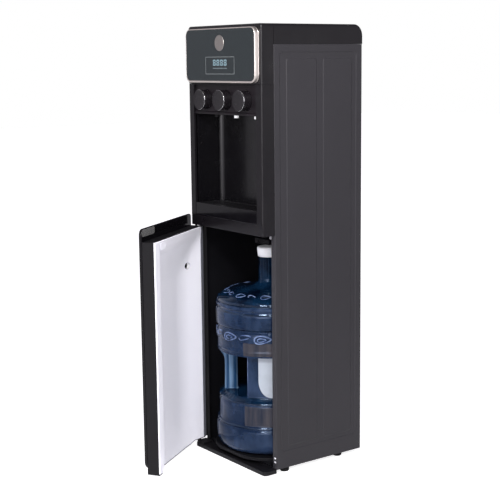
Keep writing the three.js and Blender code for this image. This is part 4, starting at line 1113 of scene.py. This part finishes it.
# ------------------------------------------------------------------ carried over nodes inside the cabinet
KEEP = {"mid_shelf": "inner", "compressor": "black", "cold_tank": "zinc", "cold_tank_insulation": "foam", "hot_tank": "zinc", "water_pump": "black", "control_board_box": "black",
        "bottle_probe": "white", "probe_clip": "black", "suction_hose": "white", "display_module": "circuit"}
for nme, mk in KEEP.items():
    o = N[nme]
    o.data.materials.clear()
    o.data.materials.append(M[mk])
    for p in o.data.polygons:
        p.material_index = 0

# ------------------------------------------------------------------ floor, light
bm = bmesh.new()
bmesh.ops.create_grid(bm, x_segments=2, y_segments=2, size=14)
me = bpy.data.meshes.new("floor")
bm.to_mesh(me)
bm.free()
floor = bpy.data.objects.new("floor", me)
bpy.context.scene.collection.objects.link(floor)
fm = material("pale_floor", (0.80, 0.80, 0.81), 0.7, var=0.01, vscale=2, bump=0.0, emit=(1, 1, 1, 0.1), spec=0.1)
# the floor glows softly to the eye, so that it stays pale under the object
_fl = fm.node_tree.nodes.new("ShaderNodeLightPath")
_fr = fm.node_tree.nodes.new("ShaderNodeMapRange")
_fr.inputs["To Min"].default_value, _fr.inputs["To Max"].default_value = 0.10, 0.85
fm.node_tree.links.new(_fl.outputs["Is Camera Ray"], _fr.inputs["Value"])
fm.node_tree.links.new(_fr.outputs["Result"], fm.node_tree.nodes["Principled BSDF"].inputs["Emission Strength"])
me.materials.append(fm)

w = bpy.data.worlds.new("studio")
bpy.context.scene.world = w
w.use_nodes = True
nt = w.node_tree
bg = nt.nodes["Background"]
tc = nt.nodes.new("ShaderNodeTexCoord")
total = None
BASE_SKY = 0.13


def lobe(azimuth, elevation, amount, edge):
    """soft bright patch of the room round one direction, fading out at an angle of edge degrees"""
    global total
    a, e = math.radians(azimuth), math.radians(elevation)
    dot = nt.nodes.new("ShaderNodeVectorMath")
    dot.operation = "DOT_PRODUCT"
    dot.inputs[1].default_value = (math.cos(a) * math.cos(e), math.sin(a) * math.cos(e), math.sin(e))
    nt.links.new(tc.outputs["Generated"], dot.inputs[0])
    mr = nt.nodes.new("ShaderNodeMapRange")
    mr.interpolation_type = "SMOOTHSTEP"
    mr.inputs["From Min"].default_value, mr.inputs["From Max"].default_value = math.cos(math.radians(edge)), 1
    mr.inputs["To Min"].default_value, mr.inputs["To Max"].default_value = 0, amount
    nt.links.new(dot.outputs["Value"], mr.inputs["Value"])
    if total is None:
        total = mr.outputs["Result"]
    else:
        ad = nt.nodes.new("ShaderNodeMath")
        nt.links.new(total, ad.inputs[0])
        nt.links.new(mr.outputs["Result"], ad.inputs[1])
        total = ad.outputs["Value"]


LOBES = [(34, 4, 0.45, 60), (-142, 5, 0.33, 60), (-30, 45, 0.20, 60), (0, 90, 0.10, 60), (-50, 8, 6.5, 20), (-78, 2, 1.6, 30)]
for q in LOBES:
    lobe(*q)
ramp = nt.nodes.new("ShaderNodeValToRGB")
cr = ramp.color_ramp
cr.elements[0].position, cr.elements[0].color = 0.0, (BASE_SKY * 1.03, BASE_SKY * 0.98, BASE_SKY * 1.1, 1)
cr.elements[1].position, cr.elements[1].color = 1.0, (8.2 + BASE_SKY, 7.88 + BASE_SKY, 8.4 + BASE_SKY, 1)
quarter = nt.nodes.new("ShaderNodeMapRange")
quarter.inputs["From Min"].default_value, quarter.inputs["From Max"].default_value = 0, 8
nt.links.new(total, quarter.inputs["Value"])
nt.links.new(quarter.outputs["Result"], ramp.inputs["Fac"])
lp = nt.nodes.new("ShaderNodeLightPath")
mix = nt.nodes.new("ShaderNodeMixRGB")
nt.links.new(lp.outputs["Is Camera Ray"], mix.inputs["Fac"])
nt.links.new(ramp.outputs["Color"], mix.inputs["Color1"])
mix.inputs["Color2"].default_value = (1, 1, 1, 1)
nt.links.new(mix.outputs["Color"], bg.inputs["Color"])
bg.inputs["Strength"].default_value = 1.0


def area(name, loc, target, size, size_y, power, color=(1, 1, 1)):
    L = bpy.data.lights.new(name, "AREA")
    L.shape, L.size, L.size_y, L.energy, L.color = "RECTANGLE", size, size_y, power, color
    o = bpy.data.objects.new(name, L)
    bpy.context.scene.collection.objects.link(o)
    d = Vector(target) - Vector(loc)
    o.location = loc
    o.rotation_mode = "QUATERNION"
    o.rotation_quaternion = d.to_track_quat("-Z", "Y")
    return o


area("soft_side", (1.05, -0.44, 1.25), (0.12, -0.02, 0.60), 0.5, 0.8, 7.6)
area("soft_box", (1.3, -1.62, 2.15), (0, 0, 0.5), 0.62, 0.15, 40)
area("soft_top", (0.6, -0.6, 2.9), (0, 0, 0.5), 1.4, 1.4, 6)
area("low_band", (2.3, 1.55, 0.98), (0.1, 0, 0.9), 0.6, 0.16, 0.8)

bpy.context.scene.view_settings.view_transform = "Standard"
bpy.context.scene.view_settings.look = "None"
